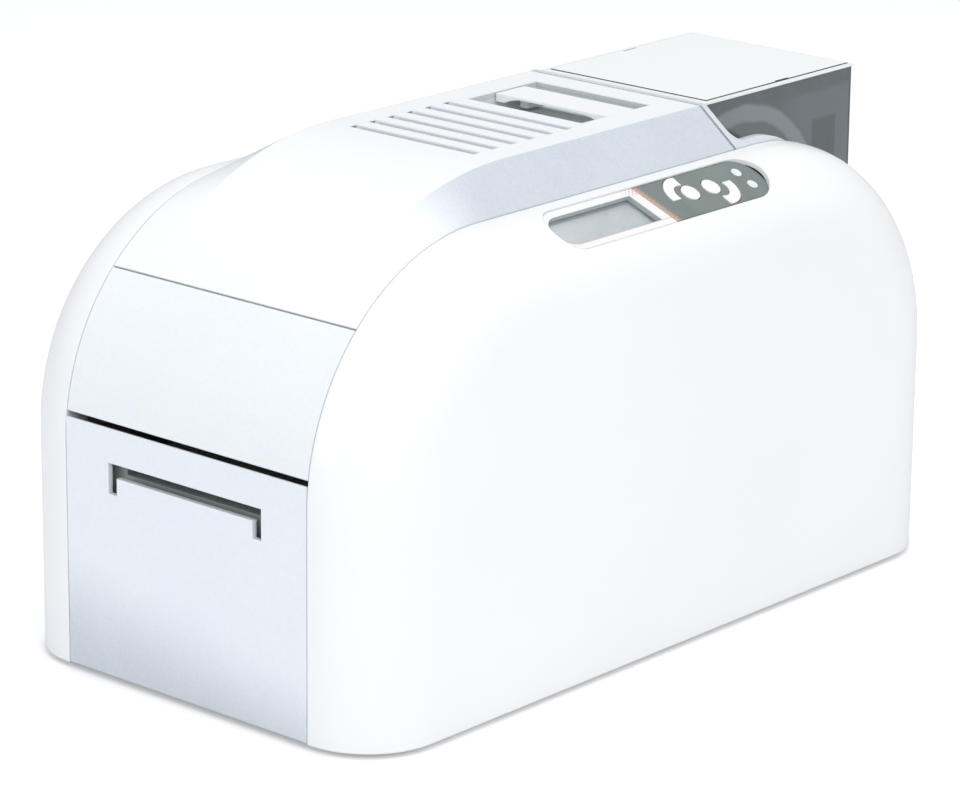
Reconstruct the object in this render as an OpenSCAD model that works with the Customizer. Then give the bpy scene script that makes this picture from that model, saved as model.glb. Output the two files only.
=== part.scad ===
// Desktop id card printer: arched silver spine between two rounded white side covers.
// Every module draws with the front face at y = 0 and the underside at z = 0;
// place() then puts the origin under the middle of the printer, on the table.

/* [Case] */
// Overall width across both side covers
body_w = 263; // [258:1:270]
// Overall length, front door face to rear face
body_l = 480; // [476:1:490]
// Height of the top deck above the underside
body_h = 268; // [265:1:272]
// Width of each side cover
side_w = 45; // [42:0.5:48]
// Width of the sloping band beside the flat deck
band_w = 25.5; // [23:0.5:27]
// Height of the deck above the side covers' flat crest
crest_drop = 20.5; // [19:0.5:23]
// Radius of the arch in side view
arch_r = 125; // [120:1:130]
// Flat left inside the rolled edge of the side covers
edge_flat = 2; // [1.8:0.1:2.4]
// Wall thickness of the side covers
cover_t = 2.6; // [2:0.2:3]
// Depth of the return lip inside each side cover
lip_d = 14; // [10:1:18]
// Height of the rubber feet
foot_h = 3; // [2.5:0.5:5]
// Diameter of a rubber foot
foot_d = 18; // [14:1:22]

/* [Gaps] */
// Gap between the spine panels and the side covers
side_gap = 0.5; // [0.4:0.1:0.8]
// Thick shadow gap above the front door
door_seam = 3; // [2:0.2:3.2]
// Thin seam between the fascia and the top cover
cover_seam = 1; // [0.8:0.1:1.4]
// Gap behind the top cover
rear_seam = 1.8; // [1.7:0.1:2.2]
// Gap around a key in its hole
key_gap = 0.35; // [0.3:0.05:0.5]
// Running clearance of a pin or shaft in its hole, on the radius
run = 0.06; // [0.03:0.01:0.09]

/* [Front door] */
// Rise of the door's top edge above the start of the arch
door_rise = 14.2; // [10:0.2:16]
// Wall thickness of door, fascia and top cover
shell_t = 3; // [2.6:0.2:3.4]
// Outer width of the card slot
slot_w = 109.6; // [100:1:112]
// Inner width of the tab inside the slot
tab_w = 97.6; // [90:1:99]
// Door above the slot
slot_drop = 18.7; // [18:0.1:20]
// Height of the bar of the slot
slot_bar = 7.4; // [5:0.5:8]
// Length of the slot's legs
slot_h = 16.8; // [14:0.2:20]
// Door hinge axis, back from the front face
door_pin_y = 7.5; // [7.5:0.5:8.5]
// Door hinge axis, above the underside
door_pin_z = 7.5; // [7.5:0.5:8.5]
// Radius of the door hinge pins
door_pin_r = 2; // [1.6:0.2:2.4]

/* [Top cover] */
// Angle of the seam between fascia and cover, up from level at the arch centre
seam_angle = 44.5; // [43:0.5:46]
// Length behind the top cover
hopper_l = 143; // [142:1:146]
// Cover hinge axis, ahead of the cover's rear edge
cover_pin_b = 17; // [16:0.5:18]
// Cover hinge axis, below the deck
cover_pin_d = 7.5; // [7:0.25:8]
// Deck left beside the vent slots
vent_side = 16.7; // [14:0.1:20]
// Deck left between the last vent slot and the latch recess
vent_rear = 14.3; // [13:0.1:16]
// Number of vent slots
vent_n = 6; // [4:1:7]
// Open share of the spacing of the vent slots
vent_open = 0.365; // [0.25:0.005:0.5]
// Deck left beside the latch recess
well_side = 20.2; // [19:0.1:23]
// Length of the latch recess
well_l = 57.6; // [57:0.1:60]
// Deck left behind the latch recess
well_back = 17.8; // [17:0.1:19]
// Depth of the latch recess
well_d = 11; // [10.5:0.1:12]

/* [Hopper] */
// Deck left beside the smoky hopper walls
hopper_side = 3.5; // [3:0.1:5]
// From the top cover's rear edge to the hopper walls
hopper_lead = 9.6; // [9.4:0.1:10.6]
// Thickness of the hopper walls
hopper_t = 3.5; // [3:0.5:4]
// Height of the hopper, lid included
hopper_h = 72; // [64:1:86]
// Thickness of the lid plate and rim
lid_t = 1.6; // [1.4:0.2:2]
// Seam around the hopper lid
lid_gap = 0.7; // [0.5:0.1:0.8]
// Width of the silver strip behind the top cover
strip_w = 3.7; // [3.2:0.1:4]
// Drop from the deck to the silver shelf beside the hopper
shelf_drop = 17.5; // [16:0.5:19]
// Length of the level part of the shelf, fillet included
shelf_l = 17.5; // [15:0.5:19]
// Radius of the shelf's rear end
shelf_r = 45; // [44:0.5:47]
// Depth of the silver ledge below the crest
ledge_d = 6; // [5:0.5:7]

/* [Control panel] */
// Tilt of the panel from level
panel_tilt = 28; // [27:0.5:29]
// Depth of the flat panel below the rolled shoulder
panel_sink = 3.35; // [3.3:0.05:3.6]
// Offset of the panel towards the outside
panel_shift = 1.4; // [1:0.1:1.4]
// Front end of the panel, behind the start of the straight shoulder
panel_lead = 32; // [28:1:36]
// Rear end of the panel, ahead of the top cover's rear edge
panel_back = 5.8; // [5:0.2:8]
// Half width of the panel
panel_hw = 15.2; // [15:0.1:15.3]
// Length of the dark keypad
keypad_l = 89.9; // [89:0.1:92]
// Radius of a round key
key_r = 5.6; // [5.2:0.1:5.7]
// Travel of the keys
key_travel = 0.8; // [0.6:0.1:1]

/* [Card path] */
// Underside of a card in the path, below the slot's top edge
path_drop = 3.6; // [3.4:0.1:4]
// Length of a card
card_l = 85.6; // [85.4:0.1:85.8]
// Width of a card
card_w = 54; // [53.8:0.1:54.2]
// Half distance between the inner faces of the frame plates
plate_x = 46; // [45:0.5:47]
// Thickness of the frame plates
plate_t = 2; // [1.6:0.2:2.4]
// Radius of the drive rollers
roller_r = 8; // [7.6:0.2:8.4]
// Radius of the roller shafts
shaft_r = 3; // [2.6:0.2:3.2]
// Radius of the upper rollers
pinch_r = 6; // [5.6:0.2:6.4]
// Front roller, from the front
roller_y = 78; // [76:1:80]
// From the hopper walls' front face to the pick roller
pick_lead = 43.4; // [42.4:0.1:44.4]
// Radius of the belt pulleys
pulley_r = 7; // [6.6:0.2:7.2]
// Side of the square feed motor
motor_s = 42; // [40:1:44]
// Motor axis below the roller shafts
motor_drop = 46.4; // [44:0.2:50]
// Pivot of the print head arm, behind the platen roller
head_back = 66; // [64:0.5:68]
// Pivot of the print head arm, above the card path
head_rise = 70.6; // [69:0.2:72]
// Ribbon spools, ahead of and behind the platen roller
spool_reach = 49; // [48:0.5:51]
// Ribbon spools, above the card path
spool_rise = 35.6; // [35:0.2:37]

/* [Rear] */
// Side of the square cooling fan
fan_s = 60; // [56:1:62]
// Length of the power supply box
power_l = 144; // [130:1:150]
// Height of the power supply box
power_h = 45; // [40:1:46]
// Height of the fan's centre
fan_z = 62; // [58:1:70]

/* [Hidden] */
$fn = 96;
edge_r = side_w - edge_flat;
crest_h = body_h - crest_drop;
side_x = body_w / 2 - side_w;
in_x = side_x - side_gap;
crease_x = side_x - band_w;
cx = body_w / 2 - edge_r;
arch_z = crest_h - arch_r;
door_top = arch_z + door_rise;
slot_top = door_top - slot_drop;
slot_low = slot_top - slot_h;
path_z = slot_top - path_drop;
seam_y = arch_r * (1 - cos(seam_angle));
seam_z = arch_z + arch_r * sin(seam_angle);
top_r = (body_h - seam_z) / (1 - sin(seam_angle));
top_y = seam_y + top_r * cos(seam_angle);
top_z = body_h - top_r;
top_low = body_h - 118;
cover_rear = body_l - hopper_l;
frame_y0 = cover_rear + rear_seam;
cover_pin_y = cover_rear - cover_pin_b;
cover_pin_z = body_h - cover_pin_d;
well_x = crease_x - well_side;
well_y1 = cover_rear - well_back;
well_y0 = well_y1 - well_l;
vent_x = crease_x - vent_side;
vent_y = top_y - 0.6;
vent_pitch = (well_y0 - vent_rear - vent_y) / (vent_n - 1);
vent_w = vent_open * vent_pitch;
latch_y = well_y1 - 10.2;
latch_z = cover_pin_z;
hopper_x = crease_x - hopper_side;
hopper_y = cover_rear + hopper_lead;
hopper_z = body_h - hopper_h;
shoulder_z = crest_h - edge_r;
shelf_z = body_h - shelf_drop;
shelf_low = shelf_z - 14.5;
skin_low = shelf_low - 2 * shell_t;
panel_y0 = arch_r + panel_lead;
panel_y1 = cover_rear - panel_back;
panel_split = panel_y1 - keypad_l;
floor_t = 3;
path_w = card_w + 1.2;
shaft_z = path_z - roller_r;
pinch_z = path_z + 0.6 + pinch_r;
plate_o = plate_x + plate_t;
pick_y = hopper_y + pick_lead;
roller_pitch = (pick_y - roller_y) / 4;
mag_y0 = pick_y - 19;
mag_y1 = mag_y0 + card_l + 1.9;
belt_gap = 0.35;
belt_t = 1.2;
rim_h = lid_t;
rim_x = hopper_x + 1.8;
rim_y = hopper_y - 3.2;
lid_pin_y = body_l - 2.8;
lid_pin_z = body_h - lid_t / 2 - 0.22;
port_x = in_x - 29;
inlet_x = -in_x + 18.4;
inlet_z = 62;
rocker_x = -in_x + 11.5;
rocker_z = 40;
mid_y = roller_y + roller_pitch;
platen_y = roller_y + 2 * roller_pitch;
motor_z = shaft_z - motor_drop;
head_y = platen_y + head_back;
head_z = path_z + head_rise;
takeup_y = platen_y - spool_reach;
supply_y = platen_y + spool_reach;
spool_z = path_z + spool_rise;
key_cx = -1;
key_y0 = panel_split + 31.1;
key_y1 = key_y0 + 17.4;
led_y = panel_y1 - 14.3;
board_x0 = plate_o + 8;
bay_x1 = body_w / 2 - cover_t - 8.9;
board_y0 = body_l - 284;
box_y0 = body_l - 204;

module place() { translate([0, -body_l / 2, foot_h]) children(); }

module side_extrude(x0, x1) {
    translate([x0, 0, 0]) rotate([90, 0, 90]) linear_extrude(height = x1 - x0) children();
}

module both_sides() {
    children();
    mirror([1, 0, 0]) children();
}

module quarter(r) {
    intersection() {
        circle(r);
        square(r);
    }
}

module rod(x0, x1, y, z, r) {
    translate([x0, y, z]) rotate([0, 90, 0]) cylinder(h = x1 - x0, r = r);
}

module block(x0, x1, y0, y1, z0, z1) {
    translate([x0, y0, z0]) cube([x1 - x0, y1 - y0, z1 - z0]);
}

// Side view of the whole case, drawn in (y, z), shrunk by i.
module loaf_2d(i, low) {
    translate([i, low]) square([body_l - 2 * i, arch_z - low]);
    translate([arch_r, arch_z]) square([body_l - 2 * arch_r, arch_r - i]);
    translate([body_l - arch_r, arch_z]) quarter(arch_r - i);
    translate([arch_r, arch_z]) mirror([1, 0]) quarter(arch_r - i);
}

// Outer corner of the case in plan, right side only.
module plan_2d(i, x0) {
    translate([x0, i]) square([cx - x0, body_l - 2 * i]);
    translate([cx, edge_r]) square([edge_r - i, body_l - 2 * edge_r]);
    translate([cx, body_l - edge_r]) quarter(edge_r - i);
    translate([cx, edge_r]) mirror([0, 1]) quarter(edge_r - i);
}

module section_2d(i, x0) {
    translate([x0, arch_z]) square([cx - x0, arch_r - i]);
    translate([cx, arch_z]) square([edge_r - i, shoulder_z - arch_z]);
    translate([cx, shoulder_z]) quarter(edge_r - i);
}

module dome_2d(i, x0) {
    translate([0, x0 - cx]) square([arch_r - i, cx - x0]);
    square([arch_r - edge_r, edge_r - i]);
    translate([arch_r - edge_r, 0]) quarter(edge_r - i);
}

module dome(i, x0) {
    multmatrix([[0, 0, 1, cx], [1, 0, 0, 0], [0, 1, 0, arch_z]])
        rotate_extrude(angle = 90) dome_2d(i, x0);
}

module slab(i, x0, low) {
    translate([0, body_l - arch_r, 0]) dome(i, x0);
    translate([0, arch_r, 0]) mirror([0, 1, 0]) dome(i, x0);
    translate([0, 0, low]) linear_extrude(height = arch_z - low) plan_2d(i, x0);
    translate([0, body_l - arch_r, 0]) rotate([90, 0, 0])
        linear_extrude(height = body_l - 2 * arch_r) section_2d(i, x0);
}

module on_panel() {
    translate([cx, 0, shoulder_z]) rotate([0, panel_tilt, 0])
        translate([panel_shift, 0, edge_r - panel_sink]) children();
}

// Stadium seen along the panel normal, cut by slanting lines ahead of y0 and behind y1.
module panel_2d(grow, y0, y1) {
    r = panel_hw + grow;
    intersection() {
        union() {
            translate([-r, panel_y0 + panel_hw])
                square([2 * r, panel_y1 - panel_y0 - 2 * panel_hw]);
            translate([0, panel_y0 + panel_hw]) circle(r);
            translate([0, panel_y1 - panel_hw]) circle(r);
        }
        polygon([[-30, y0 - 6], [30, y0 + 6], [30, y1 + 6], [-30, y1 - 6]]);
    }
}

// Plate lying in the panel, z0 to z1 from its face.
module panel_plate(z0, z1) {
    on_panel() translate([0, 0, z0]) linear_extrude(height = z1 - z0) children();
}

module side_cover() {
    difference() {
        slab(0, side_x, 0);
        slab(cover_t, cx - 0.2, -1);
        side_extrude(side_x - 1, cx + 1) loaf_2d(lip_d, -1);
        block(side_x - 1, cx + 1, cover_t, body_l - cover_t, -1, 12.4);
        panel_plate(-9, 11) panel_2d(0.12, panel_y0 - 15, panel_y1 + 15);
    }
}

module side_cover_right() { color("white") place() side_cover(); }

module side_cover_left() {
    color("white") place() mirror([1, 0, 0]) difference() {
        slab(0, side_x, 0);
        slab(cover_t, cx - 0.2, -1);
        side_extrude(side_x - 1, cx + 1) loaf_2d(lip_d, -1);
        block(side_x - 1, cx + 1, cover_t, body_l - cover_t, -1, 12.4);
    }
}

module tray_2d(i) {
    plan_2d(i, 0);
    mirror([1, 0]) plan_2d(i, 0);
}

module base_tray() {
    w = cover_t + 0.3;
    color("dimgray") place() {
        difference() {
            union() {
                linear_extrude(height = floor_t) tray_2d(w);
                linear_extrude(height = 12) difference() {
                    tray_2d(w);
                    tray_2d(w + 2);
                }
            }
            block(-side_x, side_x, -5, 18, -1, 20);
            block(-side_x, side_x, body_l - shell_t - 0.3, body_l + 5, -1, 20);
            for (x = [31.5 - body_w / 2, 61.5 - body_w / 2, body_w / 2 - 61.5, body_w / 2 - 31.5])
                for (y = [body_l - 330 : 12 : body_l - 222])
                    block(x - 12, x + 12, y, y + 4, -1, floor_t + 1);
        }
        both_sides() difference() {
            union() {
                block(in_x - 10, in_x - 6, door_pin_y, 24, 0, 12);
                rod(in_x - 10, in_x - 6, door_pin_y, door_pin_z, 4);
            }
            rod(in_x - 11, in_x - 5, door_pin_y, door_pin_z, door_pin_r + run);
            block(in_x - 11, in_x - 5, -1, 18, -5, door_pin_z - 4);
        }
    }
}

module rubber_feet() {
    color("black") place() for (x = [-1, 1])
        for (y = [46, body_l - 46])
            translate([x * (body_w / 2 - 27.5), y, -foot_h]) cylinder(h = foot_h, d = foot_d);
}

module rear_panel() {
    top = hopper_z;
    y0 = body_l - shell_t;
    color("whitesmoke") place() difference() {
        union() {
            block(-in_x, in_x, y0, body_l, 0.5, arch_z);
            block(-hopper_x, hopper_x, y0, body_l, arch_z - 1, top);
            both_sides() block(hopper_x - 3, hopper_x, body_l - 40, y0 + 1, path_z + 15.6, top);
        }
        for (k = [-4 : 4])
            block(k * 6 - 1.6, k * 6 + 1.6, y0 - 1, body_l + 1, fan_z - 24, fan_z + 24);
        block(port_x, port_x + 26, y0 - 1, body_l + 1, 13.6, 28.6);
        block(rocker_x - 6, rocker_x + 6, y0 - 1, body_l + 1, rocker_z - 6.4, rocker_z + 6.4);
        block(inlet_x, inlet_x + 21.2, y0 - 1, body_l + 1, inlet_z, inlet_z + 14);
        for (x = [8 - in_x, in_x - 8])
            for (z = [8, arch_z - 12.5])
                translate([x, body_l + 1, z]) rotate([90, 0, 0]) cylinder(h = 2.6, r = 3.2);
    }
}

// Section of the spine at the fascia, in (y, z).
module arc_sector(r0, r1, a0, a1) {
    intersection() {
        translate([arch_r, arch_z]) difference() {
            circle(r1);
            circle(r0);
        }
        translate([arch_r, arch_z]) polygon([[0, 0],
            [-200 * cos(a0), 200 * sin(a0)],
            [-200 * cos((a0 + a1) / 2), 200 * sin((a0 + a1) / 2)],
            [-200 * cos(a1), 200 * sin(a1)]]);
    }
}

fascia_a0 = asin((door_top + door_seam - arch_z) / arch_r);
fascia_a1 = seam_angle - cover_seam * 0.5 * 57.3 / arch_r;

module fascia() {
    color("silver") place() {
        side_extrude(-in_x, in_x)
            arc_sector(arch_r - shell_t, arch_r, fascia_a0, fascia_a1);
        both_sides() side_extrude(plate_o, plate_o + 3)
            arc_sector(arch_r - 15, arch_r - shell_t + 0.5, fascia_a0 + 2, fascia_a1 - 2);
    }
}

module door_slot_2d() {
    difference() {
        translate([-slot_w / 2, slot_low]) square([slot_w, slot_top - slot_low]);
        translate([-tab_w / 2, slot_low - 1])
            square([tab_w, slot_top - slot_bar - slot_low + 1]);
    }
}

module door_panel() {
    color("lightsteelblue") place() {
        difference() {
            block(-in_x, in_x, 0, shell_t, 0.8, door_top);
            translate([0, shell_t + 1, 0]) rotate([90, 0, 0])
                linear_extrude(height = shell_t + 2) door_slot_2d();
            side_extrude(-in_x - 1, in_x + 1) polygon([[1, door_top], [1, door_top + 2],
                [shell_t + 1, door_top + 2], [shell_t + 1, door_top - 4.5]]);
        }
        both_sides() difference() {
            block(in_x - 3, in_x, shell_t - 0.5, 13, 3, door_top - 3);
            rod(in_x - 4, in_x + 1, door_pin_y, door_pin_z, door_pin_r);
        }
    }
}

module door_liner() {
    color("gray") place() {
        difference() {
            block(11 - in_x, in_x - 11, shell_t, shell_t + 2.2, 18, door_top - 6);
            block(-slot_w / 2 - 6, slot_w / 2 + 6, 0, 10, slot_low - 8, slot_top + 6);
        }
        for (x = [-56, 0, 56]) block(x - 1, x + 1, shell_t + 2, shell_t + 6, 24, slot_low - 15.2);
        for (x = [-60, 60]) block(x - 5, x + 5, shell_t + 2, shell_t + 5, slot_top + 8, door_top - 6);
    }
}

module door_pins() {
    color("gainsboro") place() both_sides()
        rod(in_x - 10.6, in_x, door_pin_y, door_pin_z, door_pin_r);
}

// Deck and chamfer bands of the spine. Each side band is a sheared cone whose rulings
// join the crease arc to the crest arc, then the flat they run into.
module spine_top() {
    w = side_x - crease_x;
    dy = arch_r - top_y;
    dz = arch_z - top_z;
    intersection() {
        side_extrude(-crease_x, crease_x) union() {
            translate([top_y, top_z]) circle(top_r);
            translate([top_y, top_z]) square([body_l, top_r]);
        }
        block(-crease_x, crease_x, 0, body_l, top_low, body_h + 1);
    }
    both_sides() intersection() {
        union() {
            multmatrix([[0, 0, 1, crease_x], [1, 0, dy / w, top_y], [0, 1, dz / w, top_z]])
                cylinder(h = w, r1 = top_r, r2 = arch_r);
            multmatrix([[1, 0, 0, crease_x], [dy / w, 1, 0, top_y],
                [-crest_drop / w, 0, 1, top_low + 50 - crest_drop]])
                cube([w, body_l, body_h - top_low - 50 + crest_drop]);
        }
        block(crease_x, side_x, 0, body_l, top_low, body_h + 1);
    }
}

// Everything behind the seam and ahead of a rear edge, in (y, z).
module cover_zone(rear, grow) {
    s = cover_seam * 0.5;
    ux = sin(seam_angle);
    uz = cos(seam_angle);
    px = seam_y + s * ux;
    pz = seam_z + s * uz;
    polygon([[px - 30 * uz, pz + 30 * ux], [px + grow * uz, pz - grow * ux],
        [px + grow * uz + 20, top_low], [rear, top_low], [rear, body_h + 20], [px - 30 * uz, body_h + 20]]);
}

module cover_shell() {
    drop = 3;
    color("whitesmoke") place() difference() {
        intersection() {
            spine_top();
            side_extrude(-in_x, in_x) cover_zone(cover_rear, 60);
        }
        intersection() {
            translate([0, 2, -drop]) spine_top();
            block(-in_x + 2.6, in_x - 2.6, 0, cover_rear + 1, top_low - 10, body_h);
        }
        // Hidden lower part of the side walls, kept only as a skirt.
        side_extrude(-in_x - 1, in_x + 1) loaf_2d(11, arch_z - 22.5);
        for (k = [0 : vent_n - 1]) {
            y = vent_y + k * vent_pitch - vent_w / 2;
            block(-vent_x, vent_x, y, y + vent_w, body_h - 1.9, body_h + 2);
            block(-vent_x + 3, vent_x - 3, y + vent_w * 2 / 3, y + vent_w, body_h - 6, body_h);
        }
        block(-well_x, well_x, well_y0, well_y1, body_h - 10, body_h + 1);
    }
}

module cover_liner() {
    color("gray") place() {
        for (y = [well_y0 - 7.5]) difference() {
            block(3 - crease_x, crease_x - 3, y, y + 2, body_h - 16, body_h - 3);
            block(-plate_o - 5, -plate_o + 5, y - 1, y + 3, 0, body_h - 9);
        }
        for (x = [9 - crease_x, crease_x - 9])
            block(x - 1, x + 1, top_y + 16, cover_rear - 4, body_h - 9, body_h - 3);
        both_sides() {
            union() {
                block(plate_o - 3.6, plate_o - 0.6, cover_pin_y - 4, cover_pin_y + 4,
                    cover_pin_z, body_h - 3);
                rod(plate_o - 3.6, plate_o - 0.6, cover_pin_y, cover_pin_z, 4);
                rod(plate_o - 1, plate_o + 2.5, cover_pin_y, cover_pin_z, 1.8);
            }
        }
    }
}

module latch_well() {
    color("dimgray") place() difference() {
        block(-well_x - 2, well_x + 2, well_y0 - 2, well_y1 + 2, body_h - well_d - 2, body_h - 3);
        block(-well_x, well_x, well_y0, well_y1, body_h - well_d, body_h);
        rod(-well_x - 3, well_x + 3, latch_y, latch_z, 1.8 + run);
    }
}

// Thin plate with a front lip, arched in the middle for the fingertips.
module pull_plate() {
    x1 = well_x - 1;
    y0 = latch_y - 24.8;
    color("white") place() {
        difference() {
            union() {
                block(-x1, x1, y0, latch_y - 0.8, body_h - 2.2, body_h - 0.6);
                block(-x1, x1, y0, y0 + 1.8, body_h - 5, body_h - 1);
            }
            intersection() {
                translate([0, y0 + 2, 0]) rotate([90, 0, 0]) linear_extrude(height = 3) {
                    translate([-20, body_h - 8]) square([40, 6.2]);
                    both_sides() translate([20, body_h - 32.3]) circle(30.5);
                }
                block(-x1 + 5, x1 - 5, y0 - 2, y0 + 3, body_h - 7, body_h - 1.8);
            }
        }
        difference() {
            for (x = [10.8 - well_x, well_x - 10.8]) union() {
                block(x - 3, x + 3, latch_y - 12, latch_y, latch_z - 2, body_h - 4);
                block(x - 3, x + 3, latch_y - 12, latch_y - 3, body_h - 4.5, body_h - 2);
                rod(x - 3, x + 3, latch_y, latch_z, 2.6);
            }
            rod(1 - well_x, well_x - 1, latch_y, latch_z, 1.8);
        }
    }
}

module latch_hooks() {
    x = well_x + 2.8;
    color("gainsboro") place() {
        rod(-x - 2, x + 2, latch_y, latch_z, 1.8);
        both_sides() side_extrude(x, x + 2) {
            translate([latch_y, latch_z]) circle(3);
            translate([latch_y - 2, latch_z - 19]) square([4, 19]);
            translate([latch_y - 2, latch_z - 19]) square([10, 3.2]);
        }
    }
}

// Open space above the silver shelf in side view: upright strip, fillet, level, rear fall.
module shelf_open_2d() {
    y0 = frame_y0 + strip_w;
    y1 = y0 + shelf_l;
    translate([y0, shelf_z + 6.5]) square([200, 60]);
    translate([y0 + 6.5, shelf_z + 6.5]) circle(6.5);
    translate([y0 + 6.5, shelf_z]) square([shelf_l - 6.5, 60]);
    translate([y1, shelf_z - shelf_r]) difference() {
        square([150, 150]);
        circle(shelf_r);
    }
}

// Hollow below the shelf.
module hopper_frame() {
    y1 = frame_y0 + strip_w + shelf_l;
    color("silver") place() {
        difference() {
            intersection() {
                spine_top();
                block(-in_x, in_x, frame_y0, y1 + 36, skin_low, body_h + 1);
            }
            block(-hopper_x - 0.1, hopper_x + 0.1, hopper_y, y1 + 50, top_low, body_h + 2);
            side_extrude(-in_x - 1, in_x + 1) shelf_open_2d();
            intersection() {
                translate([0, 0, -shell_t]) spine_top();
                block(-in_x + 3, in_x - 3, frame_y0 + strip_w, y1 + 37, shelf_low, body_h);
            }
        }
        both_sides() side_extrude(hopper_x + 0.1, in_x) difference() {
            intersection() {
                loaf_2d(ledge_d, arch_z - 22.5);
                translate([y1 + 32, arch_z]) square([body_l, arch_r]);
            }
            loaf_2d(ledge_d + 3, arch_z - 32.5);
        }
    }
}

module hopper_ring(x, y0, y1, t) {
    difference() {
        translate([-x, y0]) square([2 * x, y1 - y0]);
        translate([-x + t, y0 + t]) square([2 * x - 2 * t, y1 - y0 - 2 * t]);
    }
}

module hopper_walls() {
    x = hopper_x - 0.8;
    color([0.3, 0.34, 0.34, 0.6]) place() difference() {
        translate([0, 0, hopper_z]) linear_extrude(height = body_h - rim_h - hopper_z)
            hopper_ring(hopper_x, hopper_y, body_l, hopper_t);
        block(-x, x, lid_pin_y - 1.6, body_l - 1.3, body_h - rim_h - 0.8, body_h);
    }
}

module hopper_rim() {
    x = rim_x - 3;
    y = rim_y + 5.6;
    color("white") place() difference() {
        translate([0, 0, body_h - rim_h]) linear_extrude(height = rim_h - 0.4) difference() {
            translate([-rim_x, rim_y]) square([2 * rim_x, body_l - rim_y]);
            translate([-x, y]) square([2 * x, body_l - 1.3 - y]);
        }
        rod(-x - 1.6, x + 1.6, lid_pin_y, lid_pin_z, 0.5 + run);
    }
}

module hopper_lid() {
    x1 = rim_x - 3 - lid_gap;
    y0 = rim_y + 5.6 + lid_gap;
    y1 = body_l - 1.3 - lid_gap;
    color("white") place() difference() {
        union() {
            block(-x1, x1, y0, y1, body_h - lid_t + 0.1, body_h);
            block(7.5 - hopper_x, hopper_x - 7.5, y0 + 6, y1 - 8, body_h - 4.6, body_h - lid_t + 0.1);
        }
        block(11.5 - hopper_x, hopper_x - 11.5, y0 + 10, y1 - 12, body_h - 5, body_h - lid_t);
        both_sides() block(x1 - 1.2, x1 + 1, body_l - 68, body_l - 56, body_h - 3, body_h + 1);
    }
    color("white") place() both_sides()
        rod(x1 - 1, rim_x - 1.5, lid_pin_y, lid_pin_z, 0.5);
}

module panel_frame() {
    color("white") place() difference() {
        union() {
            panel_plate(-3, 0) panel_2d(0, panel_y0 - 15, panel_split);
            panel_plate(-3.6, -1.6) intersection() {
                panel_2d(2.2, panel_y0 - 15, panel_split);
                translate([-11, panel_y0 - 5]) square([22, 7]);
            }
        }
        panel_plate(-20, 20) lcd_2d(0);
    }
}

module lcd_2d(grow) {
    r = panel_hw - 4.4 + grow;
    y0 = panel_y0 + 3.6 + panel_hw - 4.4;
    intersection() {
        union() {
            translate([0, y0]) circle(r);
            translate([-r, y0]) square([2 * r, panel_split - y0]);
        }
        polygon([[-30, y0 - 30], [30, y0 - 30], [30, panel_split - 1 + grow],
            [-30, panel_split - 13 + grow]]);
    }
}

module lcd_glass() {
    color([0.75, 0.8, 0.82, 0.5]) place() panel_plate(-4.2, -3) lcd_2d(1);
}

module lcd_module() {
    color("darkslategray") place() on_panel()
        translate([-13, panel_y0 + 8, -8.4]) cube([26, panel_split - panel_y0 - 14, 3.6]);
}

module crescent_left_2d(grow) {
    ky = key_y0 - 3.8;
    difference() {
        translate([key_cx - 0.3, ky]) circle(13 + grow);
        translate([key_cx - 0.3, ky]) circle(6.6 - grow);
        translate([-30, ky + 3 + grow]) square([60, 30]);
        translate([key_cx + 2.4 + grow, ky - 30]) square([30, 60]);
    }
}

module crescent_right_2d(grow) {
    ky = key_y1 + 3.8;
    difference() {
        translate([key_cx + 2.2, ky]) circle(13 + grow);
        translate([key_cx + 2.2, ky]) circle(6.6 - grow);
        translate([-30, ky - 3 - grow - 30]) square([60, 30]);
        translate([key_cx - 0.6 - grow - 30, ky - 30]) square([30, 60]);
    }
}

module keypad_plate() {
    color("slategray") place() difference() {
        union() {
            panel_plate(-3, 0) panel_2d(0, panel_split, panel_y1 + 15);
            panel_plate(-3.6, -1.6) intersection() {
                panel_2d(2.2, panel_split, panel_y1 + 15);
                translate([-11, panel_y1 - 2]) square([22, 7]);
            }
        }
        panel_plate(-20, 20) {
            translate([key_cx, key_y0]) circle(key_r + key_gap);
            translate([key_cx, key_y1]) circle(key_r + key_gap);
            crescent_left_2d(key_gap);
            crescent_right_2d(key_gap);
            translate([-5.7, led_y]) circle(3.15);
            translate([5.1, led_y + 2.1]) circle(3.15);
        }
    }
}

module panel_board() {
    color("darkgreen") place() on_panel() {
        translate([-14, panel_split + 3, -9.85]) cube([28, panel_y1 - panel_split - 11, 1.4]);
        translate([-14, panel_y0 + 7, -9.85]) cube([28, panel_split - panel_y0 - 3, 1.4]);
        for (x = [-13, 10.6])
            translate([x, panel_split + 6, -8.65]) cube([2.4, 6, 5.32]);
    }
}

module status_lights() {
    color("lightcyan") place() panel_plate(-4, 0.2) {
        translate([-5.7, led_y]) circle(3.1);
        translate([5.1, led_y + 2.1]) circle(3.1);
    }
}

module key_menu() {
    color("ivory") place() panel_plate(-4.2, 0.5) translate([key_cx, key_y0]) circle(key_r);
}

module key_enter() {
    color("ivory") place() panel_plate(-4.2, 0.5) translate([key_cx, key_y1]) circle(key_r);
}

module key_back() { color("ivory") place() panel_plate(-4.2, 0.5) crescent_left_2d(0); }

module key_next() { color("ivory") place() panel_plate(-4.2, 0.5) crescent_right_2d(0); }

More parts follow.
